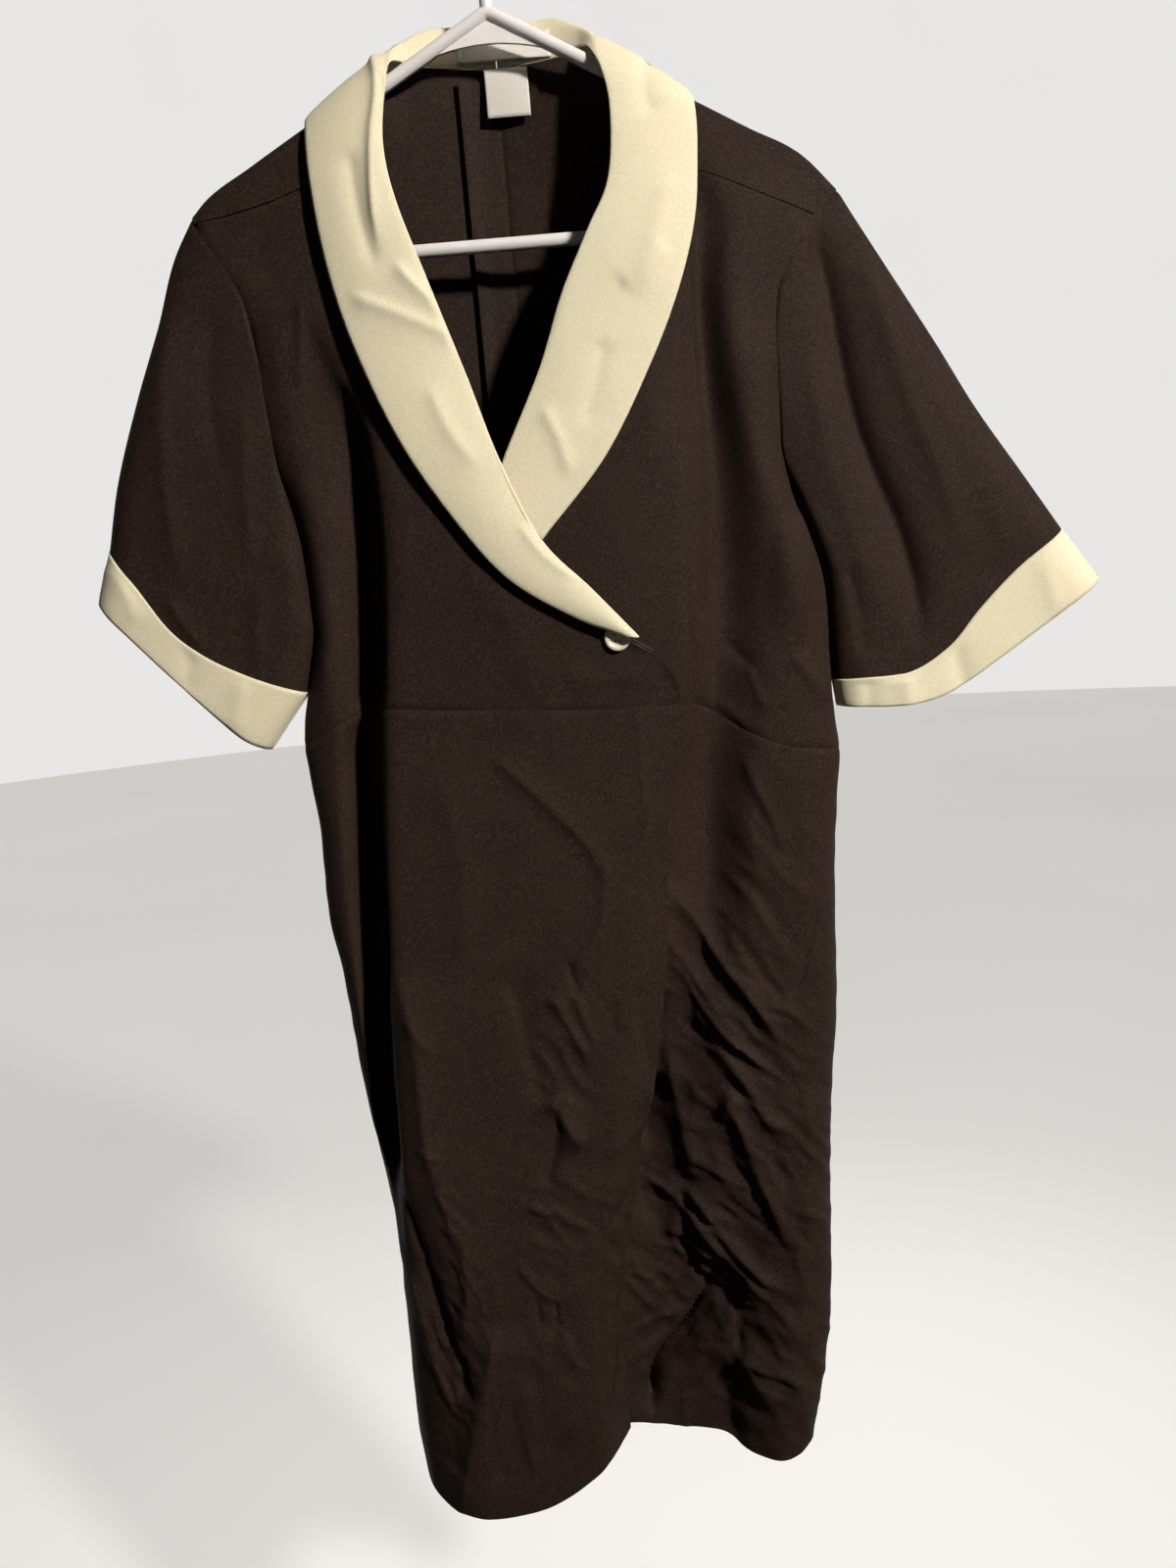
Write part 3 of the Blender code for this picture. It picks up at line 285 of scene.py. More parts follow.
SLEEVE_LEFT = dict(
    outer=[(222, -196), (253, -247), (286, -301), (310, -342), (343, -391), (369, -430)],
    inner=[(180, -387), (192.5, -424), (200.5, -455), (202, -485), (203.5, -522)],
    wrist=[(369, -430), (335, -453), (306, -480), (282, -506), (250, -521), (203.5, -522)],
    hem=[(395, -466), (352, -494), (318, -516), (280, -538), (246, -543), (206, -541)])
SLEEVE_DEPTH = 17.0    # half the depth of the hanging tube
SLEEVE_ROUND = 24.0    # length over which a folded edge rounds
CUFF_LENGTH = 36.0
CUFF_PROUD = 0.9       # the cuff's outer face stands this far off the sleeve's

# ---- collar: roll line, outer edge and the seam that joins it to the neck --------------

COLLAR_RIGHT = table(
    "roll edge seam",
    ((2.6, 31, -62), (2.6, 41, -112), (2.6, 20, -96)),
    ((-34, 28, -62), (-44, 38, -115), (-32, 18, -95)),
    ((-57, 16, -75), (-92, 26, -124), (-54, 10, -93)),
    ((-65, 1, -88), (-122, -1, -125), (-61, 2, -94)),
    ((-66, -14, -106), (-124, -13, -138), (-67, -13, -107)),
    ((-71, -25, -150), (-123, -22, -172), (-76, -20, -152)),
    ((-66, -31, -188), (-117, -29, -225), (-71, -26, -190)),
    ((-49, -35, -243), (-104, -36, -278), (-54, -30, -246)),
    ((-31, -37, -300), (-81, -41, -338), (-36, -34, -304)),
    ((-15, -43, -354), (-51, -44, -390), (-19, -41, -358)),
    ((8, -45, -408), (-18, -45.5, -433), (3, -43, -411)),
    ((38, -45.5, -443), (24, -46, -462), (36, -44, -446)),
    ((67, -45, -478), (58, -45, -478.5), (66, -44, -478)))

COLLAR_LEFT = table(
    "roll edge seam",
    ((3.4, 31, -62), (3.4, 41, -112), (3.4, 20, -96)),
    ((38, 28, -62), (50, 38, -116), (36, 18, -95)),
    ((58, 16, -74), (98, 25, -123), (54, 10, -93)),
    ((67, 1, -87), (126, -1, -127), (61, 2, -94)),
    ((70, -15, -110), (130, -15, -144), (68, -13, -108)),
    ((73, -23, -140), (129, -20, -170), (76, -19, -142)),
    ((68, -29, -184), (124, -26, -212), (72, -24, -188)),
    ((52, -32, -215), (110, -32, -256), (56, -27, -219)),
    ((32, -33, -253), (88, -34, -302), (36, -28, -257)),
    ((14, -34, -298), (54, -35, -358), (17, -30, -302)),
    ((-13, -34.2, -350), (12, -34, -404), (-10, -32.2, -354)),
    ((-26, -33.4, -378), (-6, -33.4, -424), (-24, -31.9, -382)))
FALL_CROWN = 2.5       # the fall arches this far off its chord

# ---- creases -----------------------------------------------------------------------------

VIEWING_PLACE = (24.0, -840.0, -435.0)     # where the photograph was taken from
SEEN_PLANE = -20.0     # depth at which the creases of the front are placed, as seen from there

CREASES_SKIRT_OVER = creases(
    (-6.0, 7, 10, 2.0, ((-127, -480), (-131, -560), (-136, -660), (-141, -760), (-145, -850),
                        (-145, -930))),
    (0.5, 5, 1.5, 0.4, ((62, -500), (62, -570), (62, -640))),
    (1.3, 4, 4, 1.0, ((36, -527), (50, -526), (64, -527))),
    (1.3, 12, 5, 1.0, ((-44, -552), (-25, -572), (0, -600), (22, -628), (32, -656))),
    (1.1, 10, 7, 1.0, ((33, -628), (29, -660), (22, -688), (8, -706), (-6, -720))),
    (-1.3, 3, 3, 0.6, ((-1, -708), (0, -716), (3, -738))),
    (0.9, 5, 3, 0.6, ((-22, -740), (-14, -738), (4, -726))),
    (1.9, 9, 3, 0.6, ((-16, -732), (-12, -742), (-2, -765), (9, -793))),
    (1.1, 6, 2.5, 0.6, ((2, -730), (6, -755), (17, -779))),
    (-1.4, 22, 5, 2.5, ((-48, -712), (-39, -745), (-37, -775), (-30, -805), (-14, -820))),
    (-0.8, 6, 5, 2, ((50, -728), (48, -760), (54, -808))),
    (-0.7, 4, 4, 1.5, ((27, -746), (28, -757), (30, -770))),
    (3.4, 12, 12, 0.8, ((-25, -810), (-19, -822), (-12, -838), (0, -858))),
    (-2.0, 5, 13, 1.5, ((-19, -815), (-21, -845), (-27, -868), (-33, -888))),
    (1.1, 6, 4, 1.0, ((-32, -874), (-18, -880), (-8, -889), (0, -900))),
    (1.6, 12, 4, 0.8, ((-50, -895), (-41, -901), (-25, -906), (-15, -915), (5, -925))),
    (0.22, 5, 5, 1.5, ((-125, -821), (-60, -824), (-15, -819))),
    (0.2, 5, 5, 1.5, ((-110, -866), (-50, -872), (-20, -876))),
    (0.2, 5, 5, 1.5, ((-80, -738), (-20, -742), (30, -738))),
    (4.6, 44, 20, 0.8, ((-131, -690), (-121, -735), (-118, -775), (-119, -830), (-116, -862),
                        (-107, -905), (-98, -945), (-101, -975), (-109, -1012), (-118, -1045))),
    (1.0, 6, 3, 0.8, ((-124, -738), (-117, -752), (-106, -772))),
    (0.9, 5, 3, 0.8, ((-127, -842), (-118, -848), (-106, -852))),
    (-2.6, 6, 7, 0.8, ((-143, -868), (-138, -895), (-130, -935), (-125, -962), (-115, -1005),
                       (-107, -1040), (-97, -1072))),
    (2.2, 5, 9, 0.8, ((-143, -935), (-139, -955), (-133, -1000), (-125, -1040), (-115, -1078))),
    (4.6, 44, 20, 0.8, ((-80, -985), (-90, -1030), (-100, -1065), (-112, -1115), (-130, -1170))),
    (1.1, 6, 2.5, 0.6, ((-61, -944), (-45, -968), (-28, -983))),
    (0.7, 5, 3, 0.8, ((-48, -941), (-38, -960))),
    (-1.0, 2.5, 3, 0.6, ((-48, -974), (-47, -1001))),
    (-1.3, 2.5, 3, 0.6, ((-34, -978), (-34, -1004))),
    (-1.6, 4, 4, 0.8, ((39, -838), (35, -885), (22, -908), (8, -935), (3, -975), (0, -1040),
                       (-6, -1098))),
    (1.5, 3, 3.5, 0.6, ((26, -925), (14, -955), (9, -990), (6, -1030), (0, -1075))),
    (-1.4, 3, 3, 0.6, ((24, -945), (18, -985), (12, -1030), (4, -1080))),
    (1.5, 3, 4, 0.6, ((28, -955), (20, -995), (16, -1040), (10, -1085))),
    (1.3, 8, 5, 1.5, ((54, -806), (46, -832), (30, -850), (12, -866))),
    (1.0, 14, 10, 4.0, ((-70, -1040), (-60, -1080), (-66, -1130))),
    (0.8, 14, 14, 5.0, ((-80, -560), (-72, -640), (-78, -720))),
    (0.9, 16, 12, 5.0, ((-30, -1000), (-36, -1050), (-30, -1110))))

CREASES_SKIRT_UNDER = creases(
    (3.4, 12, 6, 0.9, ((70, -655), (84, -675), (100, -699), (112, -719), (128, -745),
                       (140, -766), (156, -797))),
    (2.9, 9, 5, 0.8, ((58, -682), (70, -700), (85, -722), (100, -745), (112, -766), (130, -793))),
    (2.4, 5, 3.5, 0.6, ((62, -704), (76, -720), (92, -745), (105, -765), (120, -785),
                        (136, -801), (162, -826))),
    (3.2, 14, 7, 0.8, ((84, -742), (95, -762), (110, -792), (125, -822), (140, -851),
                       (154, -876))),
    (3.9, 15, 7, 0.8, ((104, -812), (113, -838), (120, -862), (129, -891), (140, -926),
                       (150, -962))),
    (2.0, 5, 4, 0.8, ((118, -822), (110, -826), (102, -846))),
    (1.4, 7, 3, 0.8, ((140, -842), (150, -862), (164, -892))),
    (1.0, 8, 4, 1.5, ((150, -905), (162, -922), (180, -932))),
    (3.2, 8, 6, 0.8, ((38, -880), (48, -887), (60, -896), (72, -911), (81, -927), (96, -958))),
    (1.6, 8, 4, 1.2, ((74, -864), (88, -877), (102, -887), (124, -903))),
    (3.4, 6, 4.5, 0.7, ((70, -886), (79, -900), (93, -924), (107, -949), (122, -969),
                        (142, -991))),
    (2.8, 5, 4, 0.7, ((70, -905), (78, -918), (92, -942), (105, -961), (116, -976), (134, -999))),
    (-3.2, 10, 4, 1.0, ((63, -926), (67, -938), (72, -956), (80, -988))),
    (2.6, 5, 8, 0.8, ((52, -922), (62, -930), (76, -942), (94, -958))),
    (1.2, 5, 3, 0.7, ((20, -962), (28, -974), (44, -997))),
    (1.4, 6, 4, 1.0, ((26, -958), (34, -962), (46, -968))),
    (-4.0, 14, 12, 4.0, ((74, -978), (95, -984), (112, -990))),
    (-4.5, 8, 9, 1.2, ((86, -992), (70, -1008), (56, -1028), (42, -1044), (36, -1060),
                       (34, -1085))),
    (1.6, 6, 4, 0.8, ((90, -960), (105, -979), (132, -994))),
    (-3.2, 17, 4, 1.0, ((106, -992), (103, -1008), (103, -1026), (110, -1042))),
    (3.4, 14, 9, 0.9, ((102, -1026), (108, -1041), (117, -1060), (130, -1090))),
    (1.8, 9, 4, 0.8, ((106, -1036), (114, -1044), (131, -1056), (156, -1070))),
    (-2.0, 10, 10, 3.0, ((92, -1040), (92, -1075), (100, -1120))),
    (-1.1, 2.5, 2.5, 0.4, ((190, -660), (183, -682), (174, -714), (158, -766))),
    (1.3, 7, 3, 0.8, ((136, -751), (160, -764), (176, -783))),
    (1.5, 5, 3, 0.6, ((150, -954), (155, -972), (160, -984))),
    (1.4, 9, 5, 1.5, ((134, -566), (141, -588), (150, -611), (162, -646))),
    (-6.0, 6, 6, 1.0, ((66, -736), (64, -774), (59, -804), (53, -831), (48, -870))),
    (-5.0, 22, 14, 1.5, ((60, -800), (52, -832), (46, -856), (42, -890), (40, -925))),
    (3.4, 12, 16, 0.6, ((65, -760), (66, -800), (72, -828), (76, -853), (78, -876),
                        (80, -896))),
    (-6.0, 4, 5, 0.5, ((80, -978), (61, -1011), (42, -1040), (36, -1062), (34, -1090))),
    (1.6, 10, 9, 3.0, ((88, -800), (82, -840), (86, -880))),
    (1.4, 12, 12, 4.0, ((150, -1000), (146, -1050), (150, -1110))),
    (1.2, 10, 8, 3.0, ((168, -820), (166, -880), (160, -950))),
    (1.0, 10, 7, 3.0, ((60, -1060), (58, -1090), (62, -1120))))

CRUMPLES_SKIRT_OVER = crumples(
    (-10, -780, 34, 60, -62, 15, 1.1), (-18, -920, 40, 50, -40, 16, 1.3),
    (-22, -1030, 40, 50, -60, 18, 1.0), (-112, -1000, 22, 110, -72, 11, 1.8),
    (15, -1000, 18, 90, -84, 9, 1.3), (-60, -1090, 60, 50, -80, 24, 0.8))

CRUMPLES_SKIRT_UNDER = crumples(
    (115, -780, 60, 90, -52, 15, 1.9), (90, -930, 60, 70, -48, 15, 2.9),
    (70, -1010, 50, 50, 38, 17, 2.5), (135, -1040, 50, 60, -50, 17, 2.4),
    (150, -880, 40, 70, -50, 15, 1.9), (150, -640, 40, 60, -58, 22, 1.4),
    (80, -1100, 60, 40, -75, 24, 0.9))

CREASES_BODICE_OVER = creases(
    (-6.0, 7, 10, 2.0, ((-120, -290), (-112, -340), (-112, -390), (-116, -450), (-124, -520),
                        (-129, -600))),
    (0.9, 5, 3, 0.8, ((-138, -240), (-141, -268), (-146, -300))),
    (1.2, 5, 3, 0.8, ((-172, -318), (-169, -345), (-163, -382))),
    (0.5, 6, 5, 2.0, ((-128, -338), (-131, -372), (-136, -410))),
    (0.9, 6, 5, 1.5, ((-149, -470), (-152, -494), (-157, -520))),
    (0.6, 3, 3, 0.6, ((-163, -168), (-159, -175), (-156, -184))),
    (-0.8, 14, 14, 6.0, ((-160, -178), (-158, -205), (-156, -245))),
    (0.8, 18, 18, 6.0, ((-96, -300), (-88, -380), (-92, -460))),
    (0.8, 20, 14, 6.0, ((-50, -420), (-20, -470), (-10, -520))),
    (0.7, 10, 6, 3.0, ((10, -500), (40, -508), (80, -505))),
    (0.7, 3, 1.5, 0.5, ((66, -472), (78, -486), (89, -506), (94, -532))),
    (0.8, 3, 2, 0.5, ((60, -481), (66, -486), (71, -490))))

CREASES_BODICE_UNDER = creases(
    (1.6, 9, 5, 1.0, ((117, -200), (117, -260), (117, -330), (114, -400), (108, -470),
                      (106, -545))),
    (-1.0, 6, 4, 1.0, ((126, -486), (138, -500), (147, -516), (150, -536))),
    (1.4, 4, 3, 0.8, ((112, -462), (111, -500), (110, -540))),
    (1.2, 4, 4, 0.8, ((118, -528), (130, -539), (144, -554))),
    (1.3, 4, 3, 0.8, ((141, -504), (147, -520), (152, -540))),
    (1.3, 8, 4, 1.2, ((172, -500), (184, -517), (198, -538))),
    (2.2, 26, 18, 6.0, ((156, -280), (164, -360), (174, -440), (176, -500))),
    (-1.0, 9, 9, 4.0, ((166, -392), (160, -440), (158, -500))),
    (0.8, 12, 10, 4.0, ((178, -400), (184, -440), (182, -500))),
    (0.7, 10, 10, 4.0, ((86, -240), (88, -300), (84, -370))),
    (0.8, 8, 5, 2.0, ((120, -555), (150, -568), (190, -560))))

CREASES_SLEEVE_RIGHT = creases(
    (1.6, 16, 12, 2.0, ((-222, -240), (-235, -285), (-241, -330), (-243, -380), (-240, -430))),
    (1.2, 8, 5, 1.5, ((-252, -425), (-245, -443), (-232, -464))),
    (-1.0, 8, 8, 3.0, ((-196, -240), (-206, -300), (-204, -360))),
    (0.9, 9, 7, 3.0, ((-182, -300), (-190, -360), (-192, -420))),
    (1.0, 5, 5, 1.0, ((-203, -184), (-199, -190), (-193, -198))),
    (0.8, 7, 6, 2.0, ((-186, -420), (-194, -450), (-196, -480))))

CREASES_SLEEVE_LEFT = creases(
    (-4.6, 10, 13, 2.0, ((196, -200), (209, -250), (216, -300), (223, -340), (236, -382),
                        (251, -420), (261, -462), (264, -520))),
    (1.4, 16, 10, 4.0, ((226, -226), (244, -280), (262, -340), (284, -400), (296, -450))),
    (1.0, 14, 12, 5.0, ((196, -300), (204, -370), (222, -430), (232, -480))),
    (-1.2, 7, 7, 2.5, ((214, -440), (220, -470), (224, -512))),
    (0.8, 14, 12, 5.0, ((306, -390), (320, -425), (326, -455))))

CREASES_CUFF_RIGHT = creases(
    (0.9, 8, 8, 3.0, ((-285, -398), (-280, -420), (-276, -445))),
    (-0.8, 7, 7, 3.0, ((-240, -455), (-245, -475), (-250, -495))),
    (0.8, 8, 8, 3.0, ((-205, -478), (-212, -500), (-222, -525))))

CREASES_CUFF_LEFT = creases(
    (0.9, 9, 9, 3.0, ((345, -440), (352, -462), (360, -490))),
    (-1.2, 9, 9, 3.0, ((285, -500), (290, -520), (296, -545))),
    (1.2, 9, 9, 3.0, ((250, -510), (252, -530), (254, -555))),
    (-1.2, 7, 7, 3.0, ((224, -515), (226, -530), (226, -550))))

CREASES_COLLAR_RIGHT = creases(
    (2.0, 9, 4, 0.8, ((-88, -74), (-76, -92), (-73, -112), (-80, -145), (-84, -190),
                      (-82, -222))),
    (-1.2, 6, 3, 0.8, ((-72, -108), (-70, -118), (-68, -130), (-71, -150))),
    (2.0, 4, 10, 0.5, ((-76, -222), (-62, -238), (-46, -256), (-26, -280))),
    (1.5, 3, 9, 0.5, ((-108, -240), (-80, -252), (-52, -266), (-26, -281))),
    (-1.2, 7, 7, 3.0, ((-96, -150), (-94, -190), (-86, -230))),
    (1.0, 8, 8, 3.0, ((-60, -300), (-50, -330), (-30, -360))),
    (0.8, 6, 5, 2.0, ((-10, -395), (6, -418), (30, -440))))

CREASES_COLLAR_LEFT = creases(
    (-1.2, 9, 9, 4.0, ((100, -112), (98, -130), (101, -150))),
    (1.0, 8, 6, 2.5, ((72, -250), (86, -240), (108, -226))),
    (0.8, 10, 10, 4.0, ((110, -180), (98, -220), (84, -262))),
    (1.0, 6, 5, 1.5, ((14, -320), (24, -345), (30, -370))),
    (-0.8, 8, 8, 3.0, ((60, -280), (52, -310), (40, -340))))

# the back, as it lies on the plane y = 0 seen square on
CREASES_SKIRT_BACK = creases(
    (2.6, 12, 8, 1.5, ((150, -640), (128, -700), (100, -760), (70, -810))),
    (2.2, 8, 5, 1.0, ((160, -700), (140, -745), (112, -800), (96, -850))),
    (2.8, 12, 6, 1.0, ((-120, -780), (-96, -840), (-80, -900), (-74, -960))),
    (1.8, 8, 5, 1.0, ((-134, -830), (-112, -880), (-100, -940))),
    (2.4, 10, 6, 1.0, ((110, -860), (84, -905), (52, -950), (30, -1000))),
    (1.8, 6, 4, 0.8, ((124, -900), (98, -950), (66, -1000), (52, -1040))),
    (1.4, 8, 6, 1.5, ((20, -600), (8, -660), (16, -730), (6, -790))),
    (-2.0, 12, 12, 4.0, ((-30, -900), (-24, -980), (-34, -1070))),
    (1.6, 7, 4, 0.8, ((-60, -980), (-44, -1012), (-38, -1050))),
    (-1.6, 10, 10, 4.0, ((120, -1000), (112, -1060), (118, -1120))),
    (0.2, 5, 5, 1.5, ((-130, -742), (0, -746), (150, -740))),
    (0.2, 5, 5, 1.5, ((-120, -872), (0, -868), (140, -874))),
    (1.2, 10, 8, 3.0, ((-90, -580), (-100, -640), (-96, -700))),
    (1.2, 10, 8, 3.0, ((60, -560), (52, -620), (60, -680))))

CREASES_BODICE_BACK = creases(
    (1.6, 9, 6, 1.5, ((150, -300), (128, -350), (98, -392), (70, -420))),
    (1.4, 8, 5, 1.2, ((160, -420), (134, -455), (104, -480))),
    (1.6, 9, 6, 1.5, ((-148, -300), (-124, -352), (-98, -400))),
    (1.2, 8, 5, 1.2, ((-140, -420), (-112, -462), (-86, -486))),
    (0.9, 12, 12, 4.0, ((100, -200), (104, -270), (96, -340))),
    (0.9, 12, 12, 4.0, ((-96, -200), (-100, -270), (-92, -340))),
    (0.25, 5, 5, 1.5, ((-140, -330), (0, -334), (150, -328))))

CREASES_SLEEVE_BACK = creases(
    (1.6, 14, 9, 2.0, ((-214, -230), (-228, -290), (-236, -360), (-240, -430))),
    (-1.4, 10, 10, 3.0, ((-188, -290), (-200, -360), (-202, -440))),
    (1.6, 14, 9, 2.0, ((226, -226), (250, -290), (280, -360), (300, -440))),
    (-1.8, 11, 11, 4.0, ((204, -260), (222, -340), (244, -420), (252, -490))))


# ---- reading the tables ------------------------------------------------------------------

def curve_between(start, end, leave, arrive, t):
    """Cubic from start to end, with the slopes by which it leaves and arrives."""
    return (start * (1 + 2 * t) * (1 - t) ** 2 + leave * t * (1 - t) ** 2
            + end * t * t * (3 - 2 * t) - arrive * t * t * (1 - t))


def follow(rows, by, column, at):
    """Read a column anywhere between the rows of a table, on one smooth line."""
    rows = sorted(rows, key=lambda row: getattr(row, by))
    place = np.array([getattr(row, by) for row in rows], float)
    value = np.array([getattr(row, column) for row in rows], float)
    at = np.clip(np.asarray(at, float), place[0], place[-1])
    step = np.diff(place)
    rise = np.diff(value, axis=0) / step.reshape((-1,) + (1,) * (value.ndim - 1))
    slope = np.concatenate((rise[:1], (rise[1:] + rise[:-1]) / 2, rise[-1:]))
    slope[1:-1][rise[1:] * rise[:-1] <= 0] = 0
    limit = 3 * np.minimum(np.abs(rise[1:]), np.abs(rise[:-1]))      # steeper would overshoot
    slope[1:-1] = np.clip(slope[1:-1], -limit, limit)
    index = np.clip(np.searchsorted(place, at) - 1, 0, len(step) - 1)
    gap = step[index]
    t = (at - place[index]) / gap
    if value.ndim > 1:
        t, gap = t[..., None], gap[..., None]
    return curve_between(value[index], value[index + 1], slope[index] * gap,
                         slope[index + 1] * gap, t)


def seam_line(rows):
    """A seam as a function from across to height."""
    return lambda across: follow(rows, "across", "height", across)


def shifted(line, gap):
    return lambda across: line(across) + gap


def step_lengths(points, axis=0):
    return np.linalg.norm(np.diff(points, axis=axis), axis=-1)


def run_along(points):
    """Distance along a line of points, from nought at its first."""
    return np.concatenate(([0], np.cumsum(step_lengths(points))))


def share_along(points):
    run = run_along(points)
    return run / run[-1]


def through_stops(ways, points, at):
    """A smooth path through points that it passes at the given ways, read at others."""
    stops = table("way spot", *((way, tuple(point)) for way, point in zip(ways, points)))
    return follow(stops, "way", "spot", at)


def path_through(points, t):
    """Points at shares t of the way along a smooth path through a few points."""
    points = np.array(points, float)
    run = run_along(points)
    return through_stops(run, points, np.asarray(t) * run[-1])


def read_line(at, run, points):
    """Points at some distances along a line."""
    return np.stack([np.interp(at, run, points[:, axis]) for axis in range(3)], axis=-1)


def even_line(points, count):
    """The same line with evenly spaced points."""
    return read_line(np.linspace(0, 1, count + 1), share_along(points), points)


def unit(ways):
    """The same directions, of length one."""
    return ways / np.maximum(np.linalg.norm(ways, axis=-1, keepdims=True), TINY)


def ease(t):
    t = np.clip(t, 0, 1)
    return t * t * (3 - 2 * t)


def quarter(t):
    """Rise of a quarter circle, from 0 at its side to 1 at its top."""
    t = np.clip(t, 0, 1)
    return np.sqrt(1 - (1 - t) ** 2)


def bell(away, width):
    return np.exp(-(away / width) ** 2)


# ---- weaving a panel ---------------------------------------------------------------------

SIDE_TURN = 8.0        # a side of this half depth still turns into the seam's plane a little,
SIDE_FLAT = 1.3        # and one of 0.3 of it or less turns in fully
FIRST_ROWS = (-200, -900)          # heights that the rows start from before they are settled
SETTLINGS = 12         # a seam is read where the section meets it, so both settle by turns
LEAST_CELLS = 3        # between two rails
BODICE_READ, SKIRT_READ, BACK_READ = -500, -700, -372      # heights where the cells are counted
# lengths that set how many rows each panel has
BODICE_RIGHT_LENGTH, BODICE_LEFT_LENGTH, BODICE_BACK_LENGTH = 350, 370, 440
SKIRT_RIGHT_LENGTH, SKIRT_LEFT_LENGTH, SKIRT_BACK_LENGTH = 612, 600, 600


def turned_in(heading, side):
    """Heading at a side seam: along Y where the side lies in the seam's plane."""
    turn = ease(SIDE_FLAT - np.abs(side[..., 1:]) / SIDE_TURN)
    toward = np.zeros_like(heading)
    toward[..., 1] = np.sign(heading[..., 1])
    return unit(heading * (1 - turn) + toward * turn)


def weave_rails(rails, places, first_turned, last_turned):
    """Pass each section smoothly through its rails; a side seam is rounded, an edge is not."""
    chord = step_lengths(rails)[..., None]
    heading = unit(np.diff(rails, axis=0))
    inner = (heading[:-1] * chord[:-1] + heading[1:] * chord[1:]) / (chord[1:] + chord[:-1])
    first = turned_in(heading[:1], rails[:1]) if first_turned else heading[:1]
    last = turned_in(heading[-1:], rails[-1:]) if last_turned else heading[-1:]
    tangent = np.concatenate((first, inner, last))
    index = np.clip(np.floor(places).astype(int), 0, len(rails) - 2)
    rows, columns = np.arange(rails.shape[1])[:, None], np.arange(len(places))
    here, there = (index[None, :], rows, columns), (index[None, :] + 1, rows, columns)
    length = chord[here]
    return curve_between(rails[here], rails[there], tangent[here] * length,
                         tangent[there] * length, (places - index)[None, :, None])


def panel(readers, cells, top, bottom, shares, turned):
    """Grid of points: a column for each cell between rails, a row for each share down."""
    places = np.concatenate([rail + np.arange(count) / count for rail, count in enumerate(cells)]
                            + [[len(cells)]])
    shares = np.asarray(shares)[:, None]
    height = np.linspace(*FIRST_ROWS, len(shares))[:, None] * np.ones(len(places))
    for _ in range(SETTLINGS):
        rails = np.stack([reader(height) for reader in readers])
        section = weave_rails(rails, places, *turned)
        upper, lower = top(section[..., 0]), bottom(section[..., 0])
        height = upper + (lower - upper) * shares
    return np.concatenate((section, height[..., None]), axis=-1)


def rail_readers(rows):
    """A reader for each rail in a table of sections."""
    return [lambda height, column=column: follow(rows, "height", column, height)
            for column in rows[0]._fields[1:]]


def side_reader(rows, face):
    """The side of a panel: around the armhole, then just short of the side seam's plane."""
    return lambda height: np.stack(
        (follow(rows, "height", "across", height),
         follow(rows, "height", "seam", height)
         + face * np.maximum(follow(rows, "height", "armhole", height), SIDE_GAP)), axis=-1)


def fine_cells(readers, height, spacing=SPACING):
    """How many cells of the grid go between neighbouring rails, read at one height."""
    spots = np.stack([reader(np.array([[height]]))[0, 0] for reader in readers])
    return [max(LEAST_CELLS, int(round(width / spacing))) for width in step_lengths(spots)]


def even_rows(length, spacing=SPACING):
    return np.linspace(0, 1, int(round(length / spacing)) + 1)


# ---- pressing creases into a grid ----------------------------------------------------------

CREASE_HEIGHT = 1.8    # of a row's rise: cloth that was packed keeps its creases high
CREASE_WIDTH = 0.65    # of a row's lit and shade: and narrow
CREASE_REACH = 4       # a crease is felt for so many of its widths
CREASE_COMES, CREASE_GOES = 0.16, 0.24     # shares of its path over which it rises and dies out
STEPS_PER_STOP = 4     # straight steps along a crease's path

# rise and size of the broad swells and of the small ones
Swell = namedtuple("Swell", "rise size small_rise small_size")
BODY_SWELL = Swell(0.55, 70, 0.16, 22)
SLEEVE_SWELL = Swell(0.5, 60, 0.15, 22)
CUFF_SWELL = Swell(0.35, 40, 0.1, 14)
COLLAR_SWELL = Swell(0.5, 55, 0.14, 18)
SWELL_DRAPE = 1.6      # a swell of hung cloth is this many times as long down as across
SMALL_SWELL = 40       # what a piece's seed grows by for its small swells

FOLD_LAYERS = ((1.0, 1.0), (0.55, 0.4))    # shares of a zone's size and rise
FOLD_LENGTH = 2.6      # in widths of a small fold
FOLD_CREST, FOLD_SLOPE = 0.55, 3           # a fold peaks where the random field crosses nought
ZONE_STEP = 7.3        # in the random field, from one zone to the next

SEAM_DIP, SEAM_DIP_CHANGE, SEAM_WIDTH = 0.85, 0.35, 2.0
# the share of all creases that is left on a seam, and how far off it they are whole again
SEAM_HOLD, SEAM_HOLD_REACH = 0.35, 14
ARMHOLE_HOLD, ARMHOLE_HOLD_REACH = 0.3, 16
SEAM_PULL, ARMHOLE_PULL = 0.35, 0.3        # rise of the puckers beside a seam
PUCKER_START, PUCKER_REACH = 2.5, 9
DIP_WAVE, PUCKER_WAVE = (23, 2, 41), (5.5, 1.4, 17)        # as wander() takes them
HEM_PULL, HEM_PULL_CHANGE, HEM_WAVE, HEM_LINE = 0.20, 0.08, 6.0, 2.0
HEM_FIRMNESS, HEM_RISE = 0.25, 4


def outward(grid, out, closed=False):
    """Unit normals of a grid; out is 1 where down crossed with across points outwards."""
    if closed:
        across = np.roll(grid, -1, axis=1) - np.roll(grid, 1, axis=1)
    else:
        across = np.gradient(grid, axis=1)
    return unit(out * np.cross(np.gradient(grid, axis=0), across))


def raised(grid, out, height, closed=False):
    """Move the points of a grid along its normals."""
    return grid + outward(grid, out, closed) * height[..., None]


